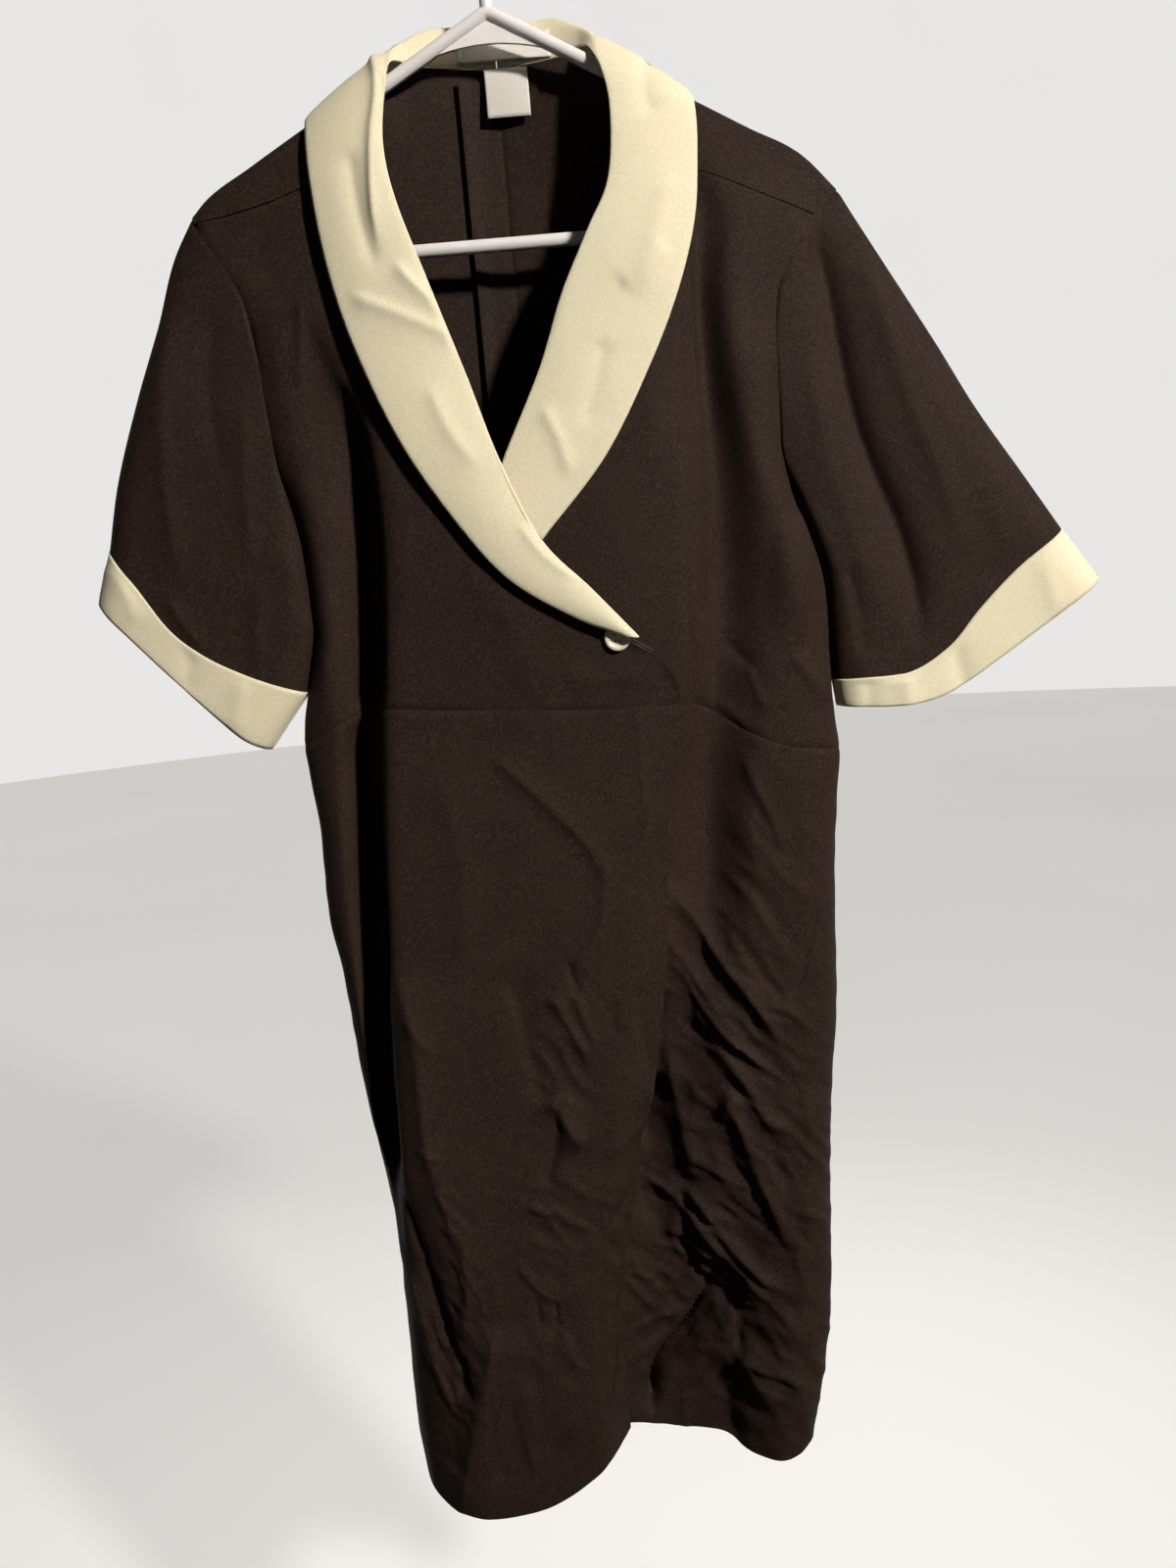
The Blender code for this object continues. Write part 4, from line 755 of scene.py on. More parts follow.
def seen_from_place(grid):
    """Where each point shows on the seen plane."""
    place = np.array(VIEWING_PLACE)
    nearer = (grid[..., 1] - place[1]) / (SEEN_PLANE - place[1])
    return place[[0, 2]] + (grid[..., [0, 2]] - place[[0, 2]]) / nearer[..., None]


def seen_square_on(grid):
    return grid[..., [0, 2]]


def crease_height(spots, crease):
    """Height that one crease gives to each spot."""
    path = path_through(crease.path, np.linspace(0, 1, STEPS_PER_STOP * len(crease.path)))
    start, run = path[:-1], np.diff(path, axis=0)
    reach = CREASE_REACH * max(crease.lit, crease.shade)
    low, high = path.min(axis=0) - reach, path.max(axis=0) + reach
    height = np.zeros(spots.shape[:-1])
    near = np.all((spots > low) & (spots < high), axis=-1)
    offset = spots[near][:, None] - start
    along = np.clip((offset * run).sum(-1) / (run * run).sum(-1), 0, 1)
    apart = np.linalg.norm(offset - along[..., None] * run, axis=-1)
    piece = apart.argmin(axis=1)
    pick = np.arange(len(piece))
    leaning = run[piece, 0] * offset[pick, piece, 1] - run[piece, 1] * offset[pick, piece, 0]
    share = (piece + along[pick, piece]) / len(run)
    width = CREASE_WIDTH * np.where(leaning > 0, crease.lit, crease.shade)
    falling = np.exp((crease.bend - np.hypot(apart[pick, piece], crease.bend)) / width)
    height[near] = (CREASE_HEIGHT * crease.rise * falling * ease(share / CREASE_COMES)
                    * ease((1 - share) / CREASE_GOES))
    return height


def creased(spots, rows):
    return sum(crease_height(spots, crease) for crease in rows)


def random_field(spots):
    """Smooth random value from -1 to 1 at each spot."""
    return np.array([noise.noise(Vector(spot)) for spot in spots.reshape(-1, 3)]).reshape(
        spots.shape[:-1])


def swollen(grid, swell, seed):
    """Height of the broad and the small swells of hung cloth."""
    broad, small = (random_field(grid / (size, size, size * SWELL_DRAPE) + place)
                    for size, place in ((swell.size, seed), (swell.small_size, seed + SMALL_SWELL)))
    return swell.rise * broad + swell.small_rise * small


def crumpled(spots, zones, seed):
    """Small sharp folds, left where the cloth was packed; each zone has its own grain."""
    height = np.zeros(spots.shape[:-1])
    for number, zone in enumerate(zones):
        offset = spots - (zone.across, zone.height)
        amount = bell(offset[..., 0], zone.wide) * bell(offset[..., 1], zone.tall)
        turn = math.radians(zone.lean)
        along = offset @ (math.cos(turn), math.sin(turn))
        aside = offset @ (-math.sin(turn), math.cos(turn))
        for size_share, rise_share in FOLD_LAYERS:
            size = zone.size * size_share
            level = np.full_like(along, seed + ZONE_STEP * number + size)
            fold = random_field(np.stack((along / (FOLD_LENGTH * size), aside / size, level), -1))
            height += (zone.rise * rise_share * amount
                       * (FOLD_CREST - FOLD_SLOPE * np.abs(fold)))
    return height


def edge_distance(grid, edge):
    """Distance from an edge of the grid, along the cloth."""
    axis = 0 if edge in ("top", "bottom") else 1
    run = np.insert(np.cumsum(step_lengths(grid, axis), axis=axis), 0, 0, axis=axis)
    if edge == "bottom":
        return run[-1:] - run
    if edge == "right":
        return run[:, -1:] - run
    return run


def wander(along, radian, sway, sway_radian):
    """A wave whose length changes as it goes, so that it doesn't look repeated.

    The radians are the distances in which the wave and its sway turn by one.
    """
    return np.sin(along / radian + sway * np.sin(along / sway_radian))


def held(away, hold, reach):
    """Share of the creases that is left near a seam."""
    return hold + (1 - hold) * ease(away / reach)


def seam_height(away, along, pull=SEAM_PULL):
    """A sewn edge dips into its seam, more in some places, and puckers a little beside it."""
    dip = SEAM_DIP + SEAM_DIP_CHANGE * wander(along, *DIP_WAVE)
    pucker = wander(along, *PUCKER_WAVE) * np.exp(-away / PUCKER_REACH)
    return -dip * bell(away, SEAM_WIDTH) + pull * pucker * (1 - np.exp(-away / PUCKER_START))


def hem_height(away, along):
    """The blind stitches of a hem hold a shallow line; the turned cloth below it is firmer."""
    pull = HEM_PULL + HEM_PULL_CHANGE * np.sin(along / HEM_WAVE)
    return (HEM_FIRMNESS * ease((HEM_DEPTH - away) / HEM_RISE)
            - pull * bell(away - HEM_DEPTH, HEM_LINE))


def pressed(grid, out, rows, looking, seams, seed, zones=(), hemmed=False, quiet=1.0):
    """Move the points of a grid along its normals by all that shapes the cloth."""
    spots = looking(grid)
    height = swollen(grid, BODY_SWELL, seed) + crumpled(spots, zones, seed) + creased(spots, rows)
    for edge in seams:
        away = edge_distance(grid, edge)
        along = grid[..., 0] if edge in ("top", "bottom") else grid[..., 2]
        height = height * held(away, SEAM_HOLD, SEAM_HOLD_REACH) + seam_height(away, along)
    if hemmed:
        height += hem_height(edge_distance(grid, "bottom"), grid[..., 0])
    return raised(grid, out, height * quiet)


# ---- meshes ----------------------------------------------------------------------------

CUT_ANGLE = 60         # the cut edge of a shell is steeper than this, its creases are not
WELD, CLOTH_WELD = 0.002, 0.02     # points nearer than this become one


def linked(name, data):
    """A new object in the scene."""
    thing = bpy.data.objects.new(name, data)
    bpy.context.scene.collection.objects.link(thing)
    return thing


def meshed(name, solid, closed=True):
    """The mesh of a bmesh, with the faces of a closed one turned outwards."""
    if closed:
        bmesh.ops.recalc_face_normals(solid, faces=solid.faces)
    data = bpy.data.meshes.new(name)
    solid.to_mesh(data)
    solid.free()
    return data


def merged(solid, apart):
    bmesh.ops.remove_doubles(solid, verts=solid.verts, dist=apart * MM)


def result_of(thing):
    """The mesh that an object's curve or modifiers give."""
    bpy.context.view_layer.update()
    return bpy.data.meshes.new_from_object(
        thing.evaluated_get(bpy.context.evaluated_depsgraph_get()))


def grid_mesh(name, grid, out, closed=False):
    rows, columns = grid.shape[:2]
    index = np.arange(rows * columns).reshape(rows, columns)
    if closed:
        left, right = index, np.roll(index, -1, axis=1)
    else:
        left, right = index[:, :-1], index[:, 1:]
    quads = np.stack((left[:-1], right[:-1], right[1:], left[1:]), axis=-1).reshape(-1, 4)
    if out > 0:
        quads = quads[:, ::-1]
    mesh = bpy.data.meshes.new(name)
    mesh.from_pydata((grid.reshape(-1, 3) * MM).tolist(), [], quads.tolist())
    return mesh


def add_piece(mesh, finish, cad_node=None):
    """Add a piece that rides on the dress, in place of one node of the frame or of none."""
    piece = linked(mesh.name, mesh)
    mesh.materials.append(finish.material)
    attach(piece, "root")
    if cad_node:
        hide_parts(cad_node)
    return piece


def cloth_shell(mesh, cad_node, finish, thickness=CLOTH):
    """A thin shell of cloth whose outer face is the mesh."""
    mesh.shade_smooth()
    piece = add_piece(mesh, finish, cad_node)
    shell = piece.modifiers.new("cloth", "SOLIDIFY")
    shell.thickness = thickness * MM
    shell.offset = -1.0
    if thickness == CLOTH:         # its cut edges are sharp, those of a doubled cloth are turned
        cut_edge = piece.modifiers.new("cut_edge", "EDGE_SPLIT")
        cut_edge.split_angle = math.radians(CUT_ANGLE)


def cloth(cad_node, grid, out, finish, thickness=CLOTH, closed=False):
    cloth_shell(grid_mesh(cad_node + "_cloth", grid, out, closed), cad_node, finish, thickness)


# ---- body panels -----------------------------------------------------------------------

NECK_END, NECK_EDGE = 57.0, 78.0   # the neckline is free of the arm to the one, on it from the other
ARM_LEAVE = 55.0       # so far below the ridge the cloth has left the arm
FLAP_SPREAD = 160.0    # further out the flap slides along the arm to meet the front's corner
FLAP_FALL = 0.8        # of the drop to the seam that the wrap round the arm may take up
ARM_SLIDE = 0.3        # share of that slide which is made on the arm
NECK_RAIL = 3          # the flap runs from the side to this rail
ARM_STEPS = 8          # rows round the arm
ARM_ROWS = 3           # of an even spacing, in whose place they stand
FLAP_STEPS = 14
PLEAT_LIFT, PLEAT_LIFT_WIDTH = 2.6, 7.0    # the underlay's free side comes forward
PLEAT_SINK, PLEAT_SINK_WIDTH = -0.5, 1.8   # and its middle sinks between the two folds
QUIET_ABOVE, QUIET_BELOW = 8.0, 34.0       # below the ridge: no creases yet, all of them


def front_panels(readers, hem, bodice_length, skirt_length, turned):
    """Bodice and skirt of one side of the front, which share their rails and the waist."""
    shoulder = shifted(seam_line(SHOULDER_SEAM), -SEAM_GAP)
    waist = seam_line(WAIST_FRONT)
    bodice = panel(readers, fine_cells(readers, BODICE_READ), shoulder, waist,
                   even_rows(bodice_length), turned)
    skirt = panel(readers, fine_cells(readers, SKIRT_READ, SKIRT_SPACING),
                  shifted(waist, -WAIST_GAP), seam_line(hem),
                  even_rows(skirt_length, SKIRT_SPACING), turned)
    return bodice, skirt


def over_the_arm(grid):
    """Round the top of a back half over the hanger's arm, and leave the neckline free."""
    across, depth, height = grid[..., 0], grid[..., 1], grid[..., 2]
    drop = follow(RIDGE, "across", "height", across) - height
    on_arm = ARM_WRAP * quarter(drop / ARM_WRAP) + (depth - ARM_WRAP) * ease(drop / ARM_LEAVE)
    free = 1 - ease((np.abs(across) - NECK_END) / (NECK_EDGE - NECK_END))
    grid[..., 1] = on_arm + (depth - on_arm) * free
    return grid


def shoulder_flap(ridge_row, front_row):
    """The part of the back that passes over the arm to the forward shoulder seam."""
    outer = ridge_row[0, 0]
    order = np.argsort(front_row[:, 0])
    reach = front_row[np.argmax(np.abs(front_row[:, 0])), 0]
    slide = (reach - outer) * ease((np.abs(ridge_row[:, 0]) - FLAP_SPREAD)
                                   / (abs(outer) - FLAP_SPREAD))
    across = ridge_row[:, 0] + slide
    seam_depth = -np.interp(across, front_row[order, 0], front_row[order, 1])
    seam_top = follow(SHOULDER_SEAM, "across", "height", across) + SEAM_GAP
    wrap = np.minimum(ARM_WRAP, (ridge_row[:, 2] - seam_top) * FLAP_FALL)
    rows = []
    for share in np.linspace(0, 1, ARM_STEPS + 1):
        turn = math.radians(90 * share)
        forward = np.minimum(ARM_WRAP, seam_depth) * math.sin(turn)
        rows.append(np.stack((ridge_row[:, 0] + slide * ARM_SLIDE * share ** 2,
                              ridge_row[:, 1] * math.cos(turn) - forward,
                              ridge_row[:, 2] - wrap * (1 - math.cos(turn))), axis=-1))
    seam_row = np.stack((across, -seam_depth, seam_top), axis=-1)
    start = rows[-1]
    for share in np.linspace(0, 1, FLAP_STEPS + 1)[1:]:
        rows.append(start + (seam_row - start) * share)
    return np.array(rows)


def back_half(sections, sides, front_row):
    """Grid of a back half from its side to the pleat, and its flap over the shoulder."""
    readers = [side_reader(sides, BACK)] + rail_readers(sections)
    cells = fine_cells(readers, BACK_READ)
    shares = even_rows(BODICE_BACK_LENGTH)
    over_arm = np.linspace(0, 1, ARM_STEPS + 1)[:-1] ** 2 * shares[ARM_ROWS]
    grid = over_the_arm(panel(readers, cells, seam_line(RIDGE), seam_line(WAIST_BACK),
                              np.concatenate((over_arm, shares[ARM_ROWS:])), (True, False)))
    return grid, shoulder_flap(grid[0, :sum(cells[:NECK_RAIL]) + 1], front_row)


def back_skirt():
    readers = ([side_reader(SIDE_RIGHT, BACK)] + rail_readers(SKIRT_BACK)
               + [side_reader(SIDE_LEFT, BACK)])
    return panel(readers, fine_cells(readers, SKIRT_READ, HIDDEN_SPACING),
                 shifted(seam_line(WAIST_BACK), -WAIST_GAP), seam_line(HEM_BACK),
                 even_rows(SKIRT_BACK_LENGTH, HIDDEN_SPACING), (True, True))


def pleat_underlay(right, left):
    """Strip behind the two meeting folds of the back."""
    across = PLEAT_CENTRE + np.linspace(-PLEAT_REACH, PLEAT_REACH, UNDERLAY_CELLS + 1)
    forward = (UNDERLAY_STEP + PLEAT_LIFT * bell(across - across[0], PLEAT_LIFT_WIDTH)
               + PLEAT_SINK * bell(across - PLEAT_CENTRE, PLEAT_SINK_WIDTH))
    rows = []
    for right_row, left_row in zip(right[ARM_STEPS:], left[ARM_STEPS:]):
        back = np.concatenate((right_row, left_row[::-1]))
        rows.append(np.stack((across, np.interp(across, back[:, 0], back[:, 1]) - forward,
                              np.interp(across, back[:, 0], back[:, 2])), axis=-1))
    return np.array(rows)


def back_piece(name, grid, flap, out, seed):
    """A back half and its flap, joined along the ridge over the hanger's arm."""
    drop = follow(RIDGE, "across", "height", grid[..., 0]) - grid[..., 2]
    quiet = ease((drop - QUIET_ABOVE) / (QUIET_BELOW - QUIET_ABOVE))
    half = pressed(grid, out, CREASES_BODICE_BACK, seen_square_on, ("right", "bottom", "left"),
                   seed, quiet=quiet)
    whole = bmesh.new()
    for part in (half, flap[::-1]):
        mesh = grid_mesh("part", part, out)
        whole.from_mesh(mesh)
        bpy.data.meshes.remove(mesh)
    merged(whole, CLOTH_WELD)
    cloth_shell(meshed(name + "_cloth", whole, closed=False), name, brown)


# ---- sleeves and cuffs -------------------------------------------------------------------

SLEEVE_CELLS = 62      # around each face of the tube
SLEEVE_LENGTH = 330.0
SLEEVE_SETTLED = 0.5   # share of its length over which the armhole's depth turns to the tube's
FOLD_CELLS = 7         # a folded edge holds the creases beside it
CUFF_CELLS = 15
CUFF_TOP = 0.3         # share of the cuff over which its creases come up
CUFF_EDGE, CUFF_EDGE_SHARE = 0.4, 1 / 12   # its turned edge draws in, over a twelfth


def folded_depth(share, length):
    """Depth of a flattened tube: full in the middle, rounded at its two folded edges."""
    return quarter(share * length / SLEEVE_ROUND) * quarter((1 - share) * length / SLEEVE_ROUND)


def armhole_loops(front_bodice, back_bodice, flap, away):
    """The armhole seam on the front and on the back, from the shoulder to the underarm."""
    shift = np.array([away * ARMHOLE_GAP, 0, 0])
    side, underarm = (SIDE_RIGHT, UNDERARM_RIGHT) if away < 0 else (SIDE_LEFT, UNDERARM_LEFT)
    corner = np.array([[float(follow(side, "height", "across", underarm)), 0, underarm]])
    front = front_bodice[front_bodice[:, 0, 2] > underarm, 0]
    back = back_bodice[back_bodice[:, 0, 2] > underarm, 0]
    return [even_line(np.concatenate(parts), SLEEVE_CELLS) + shift
            for parts in ((flap[:-1, 0], front, corner), (back, corner))]


def sleeve_face(armhole, outline, shares_down, face):
    """One face of a sleeve, spanned between its armhole, outer edge, inner edge and wrist."""
    start = armhole[:, [0, 2]]
    around = share_along(start)
    wrist = path_through(outline["wrist"], around)
    shoulder, underarm = np.array(outline["outer"][0]), np.array(outline["inner"][0])
    column = around[:, None]
    rows = []
    for share in shares_down:
        outer = path_through(outline["outer"], share)
        inner = path_through(outline["inner"], share)
        seen = ((1 - share) * start + share * wrist + (1 - column) * outer + column * inner
                - (1 - share) * ((1 - column) * shoulder + column * underarm)
                - share * ((1 - column) * wrist[0] + column * wrist[-1]))
        hanging = face * SLEEVE_DEPTH * folded_depth(around, np.linalg.norm(outer - inner))
        blend = ease(share / SLEEVE_SETTLED)
        depth = armhole[:, 1] * (1 - blend) + hanging * blend
        rows.append(np.stack((seen[:, 0], depth, seen[:, 1]), axis=-1))
    return np.array(rows)


def tube(front, back):
    """Join a front face and a back face, whose borders meet, into rings."""
    return np.concatenate((front, back[:, -2:0:-1]), axis=1)


def sleeve(name, loops, outline, out, front_creases, seed):
    """Tube from the armhole to the wrist, creased differently on its two faces."""
    shares = even_rows(SLEEVE_LENGTH)
    ring = tube(*(sleeve_face(loop, outline, shares, face)
                  for loop, face in zip(loops, (FRONT, BACK))))
    column = np.arange(ring.shape[1])
    height = swollen(ring, SLEEVE_SWELL, seed) + np.where(
        column <= SLEEVE_CELLS, creased(seen_from_place(ring), front_creases),
        creased(seen_square_on(ring), CREASES_SLEEVE_BACK))
    from_fold = np.minimum(column % SLEEVE_CELLS, SLEEVE_CELLS - column % SLEEVE_CELLS)
    away = edge_distance(ring, "top")
    height *= ease(from_fold / FOLD_CELLS) * held(away, ARMHOLE_HOLD, ARMHOLE_HOLD_REACH)
    height += seam_height(away, ring[..., 2], ARMHOLE_PULL)
    cloth(name, raised(ring, out, height, True), out, brown, closed=True)


def cuff_face(around, outline, face):
    """One face of a cuff, from just over the sleeve's end to its own turned edge."""
    start = path_through(outline["wrist"], around)
    end = path_through(outline["hem"], around)
    length = np.linalg.norm(start[0] - start[-1])
    depth = face * (SLEEVE_DEPTH * folded_depth(around, length) + CUFF_PROUD)
    rows = []
    for share in np.linspace(CUFF_GAP / CUFF_LENGTH, 1, CUFF_CELLS + 1):
        seen = start + (end - start) * share
        rows.append(np.stack((seen[:, 0], depth, seen[:, 1]), axis=-1))
    return np.array(rows)


def cuff(name, loops, outline, out, front_creases, seed):
    ring = tube(*(cuff_face(share_along(loop[:, [0, 2]]), outline, face)
                  for loop, face in zip(loops, (FRONT, BACK))))
    height = swollen(ring, CUFF_SWELL, seed) + creased(seen_from_place(ring), front_creases)
    down = np.linspace(0, 1, len(ring))[:, None]
    height = height * ease(down / CUFF_TOP) - CUFF_EDGE * bell(1 - down, CUFF_EDGE_SHARE)
    cloth(name, raised(ring, out, height, True), out, cream, CUFF_CLOTH, closed=True)


# ---- collar ------------------------------------------------------------------------------

STAND_CELLS = 12
FALL_CELLS = 38
STATION_CELLS = 20     # along the collar, from one row of its table to the next
ROLL_CELLS = 5         # the roll is rounded over so many cells to each side
ROLL_ROUNDINGS, ROLL_EASE = 10, 0.7
FALL_FREE = 5          # cells of the fall over which its creases come up
COLLAR_EDGE, COLLAR_EDGE_WIDTH = 0.5, 1.6  # the turned edge draws in


def collar_grid(stations):
    """Sheet from the neck seam up the stand, round the roll and down the fall."""
    last = len(stations) - 1
    ways = np.linspace(0, last, last * STATION_CELLS + 1)
    roll, edge, seam_points = (
        through_stops(range(last + 1), [getattr(row, part) for row in stations], ways)
        for part in ("roll", "edge", "seam"))
    fall = edge - roll
    out = unit(np.cross(fall, np.gradient(roll, axis=0)))
    out *= np.sign(out[:, 1:2] * roll[:, 1:2] + TINY)
    columns = [seam_points + (roll - seam_points) * share
               for share in np.linspace(0, 1, STAND_CELLS + 1)[:-1]]
    columns += [roll + fall * share + out * FALL_CROWN * 4 * share * (1 - share)
                for share in np.linspace(0, 1, FALL_CELLS + 1)]
    grid = np.stack(columns, axis=1)
    near_roll = bell(np.arange(grid.shape[1]) - STAND_CELLS, ROLL_CELLS)[None, 1:-1, None]
    for _ in range(ROLL_ROUNDINGS):
        middle = (grid[:, :-2] + grid[:, 2:]) / 2
        grid[:, 1:-1] += (middle - grid[:, 1:-1]) * ROLL_EASE * near_roll
    return grid


def collar(name, stations, out, rows, seed):
    """One half of the collar, creased on its fall only; it gives back the line for its top stitching
    and the cloth's normals along that line.
    """
    grid = collar_grid(stations)
    height = swollen(grid, COLLAR_SWELL, seed) + creased(seen_from_place(grid), rows)
    height -= COLLAR_EDGE * bell(edge_distance(grid, "right"), COLLAR_EDGE_WIDTH)
    height *= ease((np.arange(grid.shape[1]) - STAND_CELLS + 1) / FALL_FREE)[None, :]
    grid = raised(grid, out, height)
    cloth(name, grid, out, cream, COLLAR_CLOTH)
    return grid[:TOPSTITCH_ROWS, 1], outward(grid, out)[:TOPSTITCH_ROWS, 1]


# ---- hard pieces ---------------------------------------------------------------------------

BEND_STEPS = 16
HOOK_STOPS = 60
HOOK_STEPS = 120
WEB_STEPS = 48
BUTTON_STEPS = 72
DRILL_SIDES = 24
ROD_RESOLUTION = 6     # how finely a rod's round is drawn
THREAD_SIDES = 6
ASKEW = (0.31, 0.17, 0.94)         # no thread runs this way
HANGER_CREASE, BUTTON_CREASE = 38, 35      # degrees past which an edge is drawn sharp


def rod(name, spots, radius, closed):
    """Round bar along a list of spots in the hanger's plane."""
    curve = bpy.data.curves.new(name, "CURVE")
    curve.dimensions = "3D"
    curve.bevel_depth = radius * MM
    curve.bevel_resolution = ROD_RESOLUTION
    curve.use_fill_caps = not closed
    spline = curve.splines.new("POLY")
    spline.points.add(len(spots) - 1)
    for point, (across, height) in zip(spline.points, spots):
        point.co = (across * MM, 0.0, height * MM, 1.0)
    spline.use_cyclic_u = closed
    source = linked(name, curve)
    solid = bmesh.new()
    solid.from_mesh(result_of(source))
    bpy.data.objects.remove(source, do_unlink=True)
    merged(solid, WELD)
    return meshed(name, solid)


def rounded_corners(corners, radii, steps):
    """Closed outline through corners, each turned on an arc of its own radius."""
    outline = []
    for index, (corner, radius) in enumerate(zip(corners, radii)):
        here = np.array(corner)
        before = unit(np.array(corners[index - 1]) - here)
        after = unit(np.array(corners[(index + 1) % len(corners)]) - here)
        half = math.acos(float(before @ after)) / 2
        reach = radius / math.tan(half)
        middle = here + unit(before + after) * radius / math.sin(half)
        start = here + before * reach - middle
        end = here + after * reach - middle
        turn = math.atan2(start[0] * end[1] - start[1] * end[0], float(start @ end))
        for angle in np.linspace(0, turn, steps + 1):
            outline.append((middle[0] + start[0] * math.cos(angle) - start[1] * math.sin(angle),
                            middle[1] + start[0] * math.sin(angle) + start[1] * math.cos(angle)))
    return outline


def arm_axis(across):
    return APEX_AXIS - HANGER_SLOPE * abs(across)


def hanger_frame():
    """Two arms and the bar, one bent rod."""
    end, bar = ARM_REACH + ARM_RUN_ON, ARM_REACH + BAR_RUN_ON
    corners = [(0, APEX_AXIS), (end, arm_axis(end)), (bar, BAR_HEIGHT), (-bar, BAR_HEIGHT),
               (-end, arm_axis(end))]
    return rod("hanger_frame", rounded_corners(corners, FRAME_BENDS, BEND_STEPS), HANGER_RADIUS,
               True)


def hanger_hook():
    """Neck from the apex, then a round hook whose inner top is the origin."""
    centre = HANGER_RADIUS - HOOK_RADIUS
    stops = [(0, APEX_AXIS), (0, APEX_AXIS + HOOK_FOOT), (0, HOOK_NECK)]
    for angle in HOOK_TURNS + tuple(np.linspace(HOOK_START, HOOK_TIP, HOOK_STOPS)):
        turn = math.radians(angle)
        stops.append((HOOK_RADIUS * math.cos(turn), centre + HOOK_RADIUS * math.sin(turn)))
    spots = path_through(stops, np.linspace(0, 1, HOOK_STEPS)).tolist()
    return rod("hanger_hook", spots, HANGER_RADIUS * HOOK_SHARE, False)


def hanger_web():
    """Flat plate under the apex, with an arched lower edge between the arms."""
    across = np.linspace(-WEB_REACH, WEB_REACH, WEB_STEPS + 1)
    foot = arm_axis(WEB_REACH)
    arms = [(x, arm_axis(x)) for x in across]
    arch = [(x, foot + (WEB_ARCH - foot) * (1 - (x / WEB_REACH) ** 2)) for x in across]
    solid = bmesh.new()
    for depth in (-WEB_THICKNESS / 2, WEB_THICKNESS / 2):
        upper, lower = ([solid.verts.new((x * MM, depth * MM, z * MM)) for x, z in line]
                        for line in (arms, arch))
        for index in range(WEB_STEPS):
            solid.faces.new((upper[index], upper[index + 1], lower[index + 1], lower[index]))
    merged(solid, WELD)
    bmesh.ops.bridge_loops(solid, edges=[edge for edge in solid.edges if edge.is_boundary])
    return meshed("hanger_web", solid)


def shaped_by(data, others, operation):
    """The mesh after a Boolean with each of the other meshes."""
    base = linked(data.name, data)
    cutters = [linked("cutter", other) for other in others]
    for cutter in cutters:
        change = base.modifiers.new("change", "BOOLEAN")
        change.operation = operation
        change.object = cutter
        change.solver = "EXACT"
    result = result_of(base)
    for thing in [base] + cutters:
        bpy.data.objects.remove(thing, do_unlink=True)
    return result


def hard_piece(name, data, finish, cad_node, sharp):
    """A moulded or turned piece, smooth but for its sharp edges."""
    data.name = name
    data.materials.clear()
    data.shade_smooth()
    data.set_sharp_from_angle(angle=math.radians(sharp))
    add_piece(data, finish, cad_node)


def button_blank():
    """The turned disc, before it is drilled."""
    solid = bmesh.new()
    spots = [solid.verts.new((row.radius * MM, row.depth * MM, 0)) for row in BUTTON_PROFILE]
    edges = [solid.edges.new(ends) for ends in zip(spots[:-1], spots[1:])]
    bmesh.ops.spin(solid, geom=spots + edges, cent=(0, 0, 0), axis=(0, 1, 0),
                   angle=2 * math.pi, steps=BUTTON_STEPS, use_merge=True)
    merged(solid, WELD)
    return meshed("button_blank", solid)


def drill(side, up):
    solid = bmesh.new()
    bmesh.ops.create_cone(solid, cap_ends=True, segments=DRILL_SIDES,
                          radius1=BUTTON_HOLE * MM, radius2=BUTTON_HOLE * MM,
                          depth=DRILL_LENGTH * MM)
    place = Vector((side, 0, up)) * BUTTON_HOLE_SPACING * MM
    bmesh.ops.transform(solid, verts=solid.verts, matrix=Matrix.Translation(place)
                        @ Matrix.Rotation(math.radians(90), 4, "X"))
    return meshed("drill", solid)


def thread_mesh(name, runs, radius):
    """One mesh of short threads, each a round tube along its run of points."""
    solid = bmesh.new()
    for run in runs:
        run = np.array(run, float)
        along = unit(np.gradient(run, axis=0))
        aside = unit(np.cross(along, ASKEW))
        lift = np.cross(along, aside)
        turns = [2 * math.pi * side / THREAD_SIDES for side in range(THREAD_SIDES)]
        rings = [[solid.verts.new(tuple(spot * MM)) for spot in
                  (middle + radius * (first * math.cos(turn) + second * math.sin(turn))
                   for turn in turns)] for middle, first, second in zip(run, aside, lift)]
        for upper, lower in zip(rings[:-1], rings[1:]):
            for side in range(THREAD_SIDES):
                after = (side + 1) % THREAD_SIDES
                solid.faces.new((upper[side], upper[after], lower[after], lower[side]))
        solid.faces.new(rings[0][::-1])
        solid.faces.new(rings[-1])
    mesh = meshed(name, solid)
    mesh.shade_smooth()
    return mesh


def button_seat(points):
    """Depth of the button's underside, just off the plane of the cloth beneath it."""
    near = points.reshape(-1, 3) - (BUTTON_CENTRE[0], 0, BUTTON_CENTRE[1])
    near = near[np.hypot(near[:, 0], near[:, 2]) < BUTTON_REST * BUTTON_RADIUS]
    sides = np.stack((near[:, 0], near[:, 2], np.ones(len(near))), axis=1)
    slope_x, slope_z, level = np.linalg.lstsq(sides, near[:, 1], rcond=None)[0]
    return level - BUTTON_RADIUS * math.hypot(slope_x, slope_z) - BUTTON_GAP


def button(seat):
    data = shaped_by(button_blank(), [drill(*hole) for hole in HOLE_SIDES], "DIFFERENCE")
    data.transform(Matrix.Translation(Vector((BUTTON_CENTRE[0], seat, BUTTON_CENTRE[1])) * MM))
    hard_piece("button_disc", data, ivory, "button", BUTTON_CREASE)


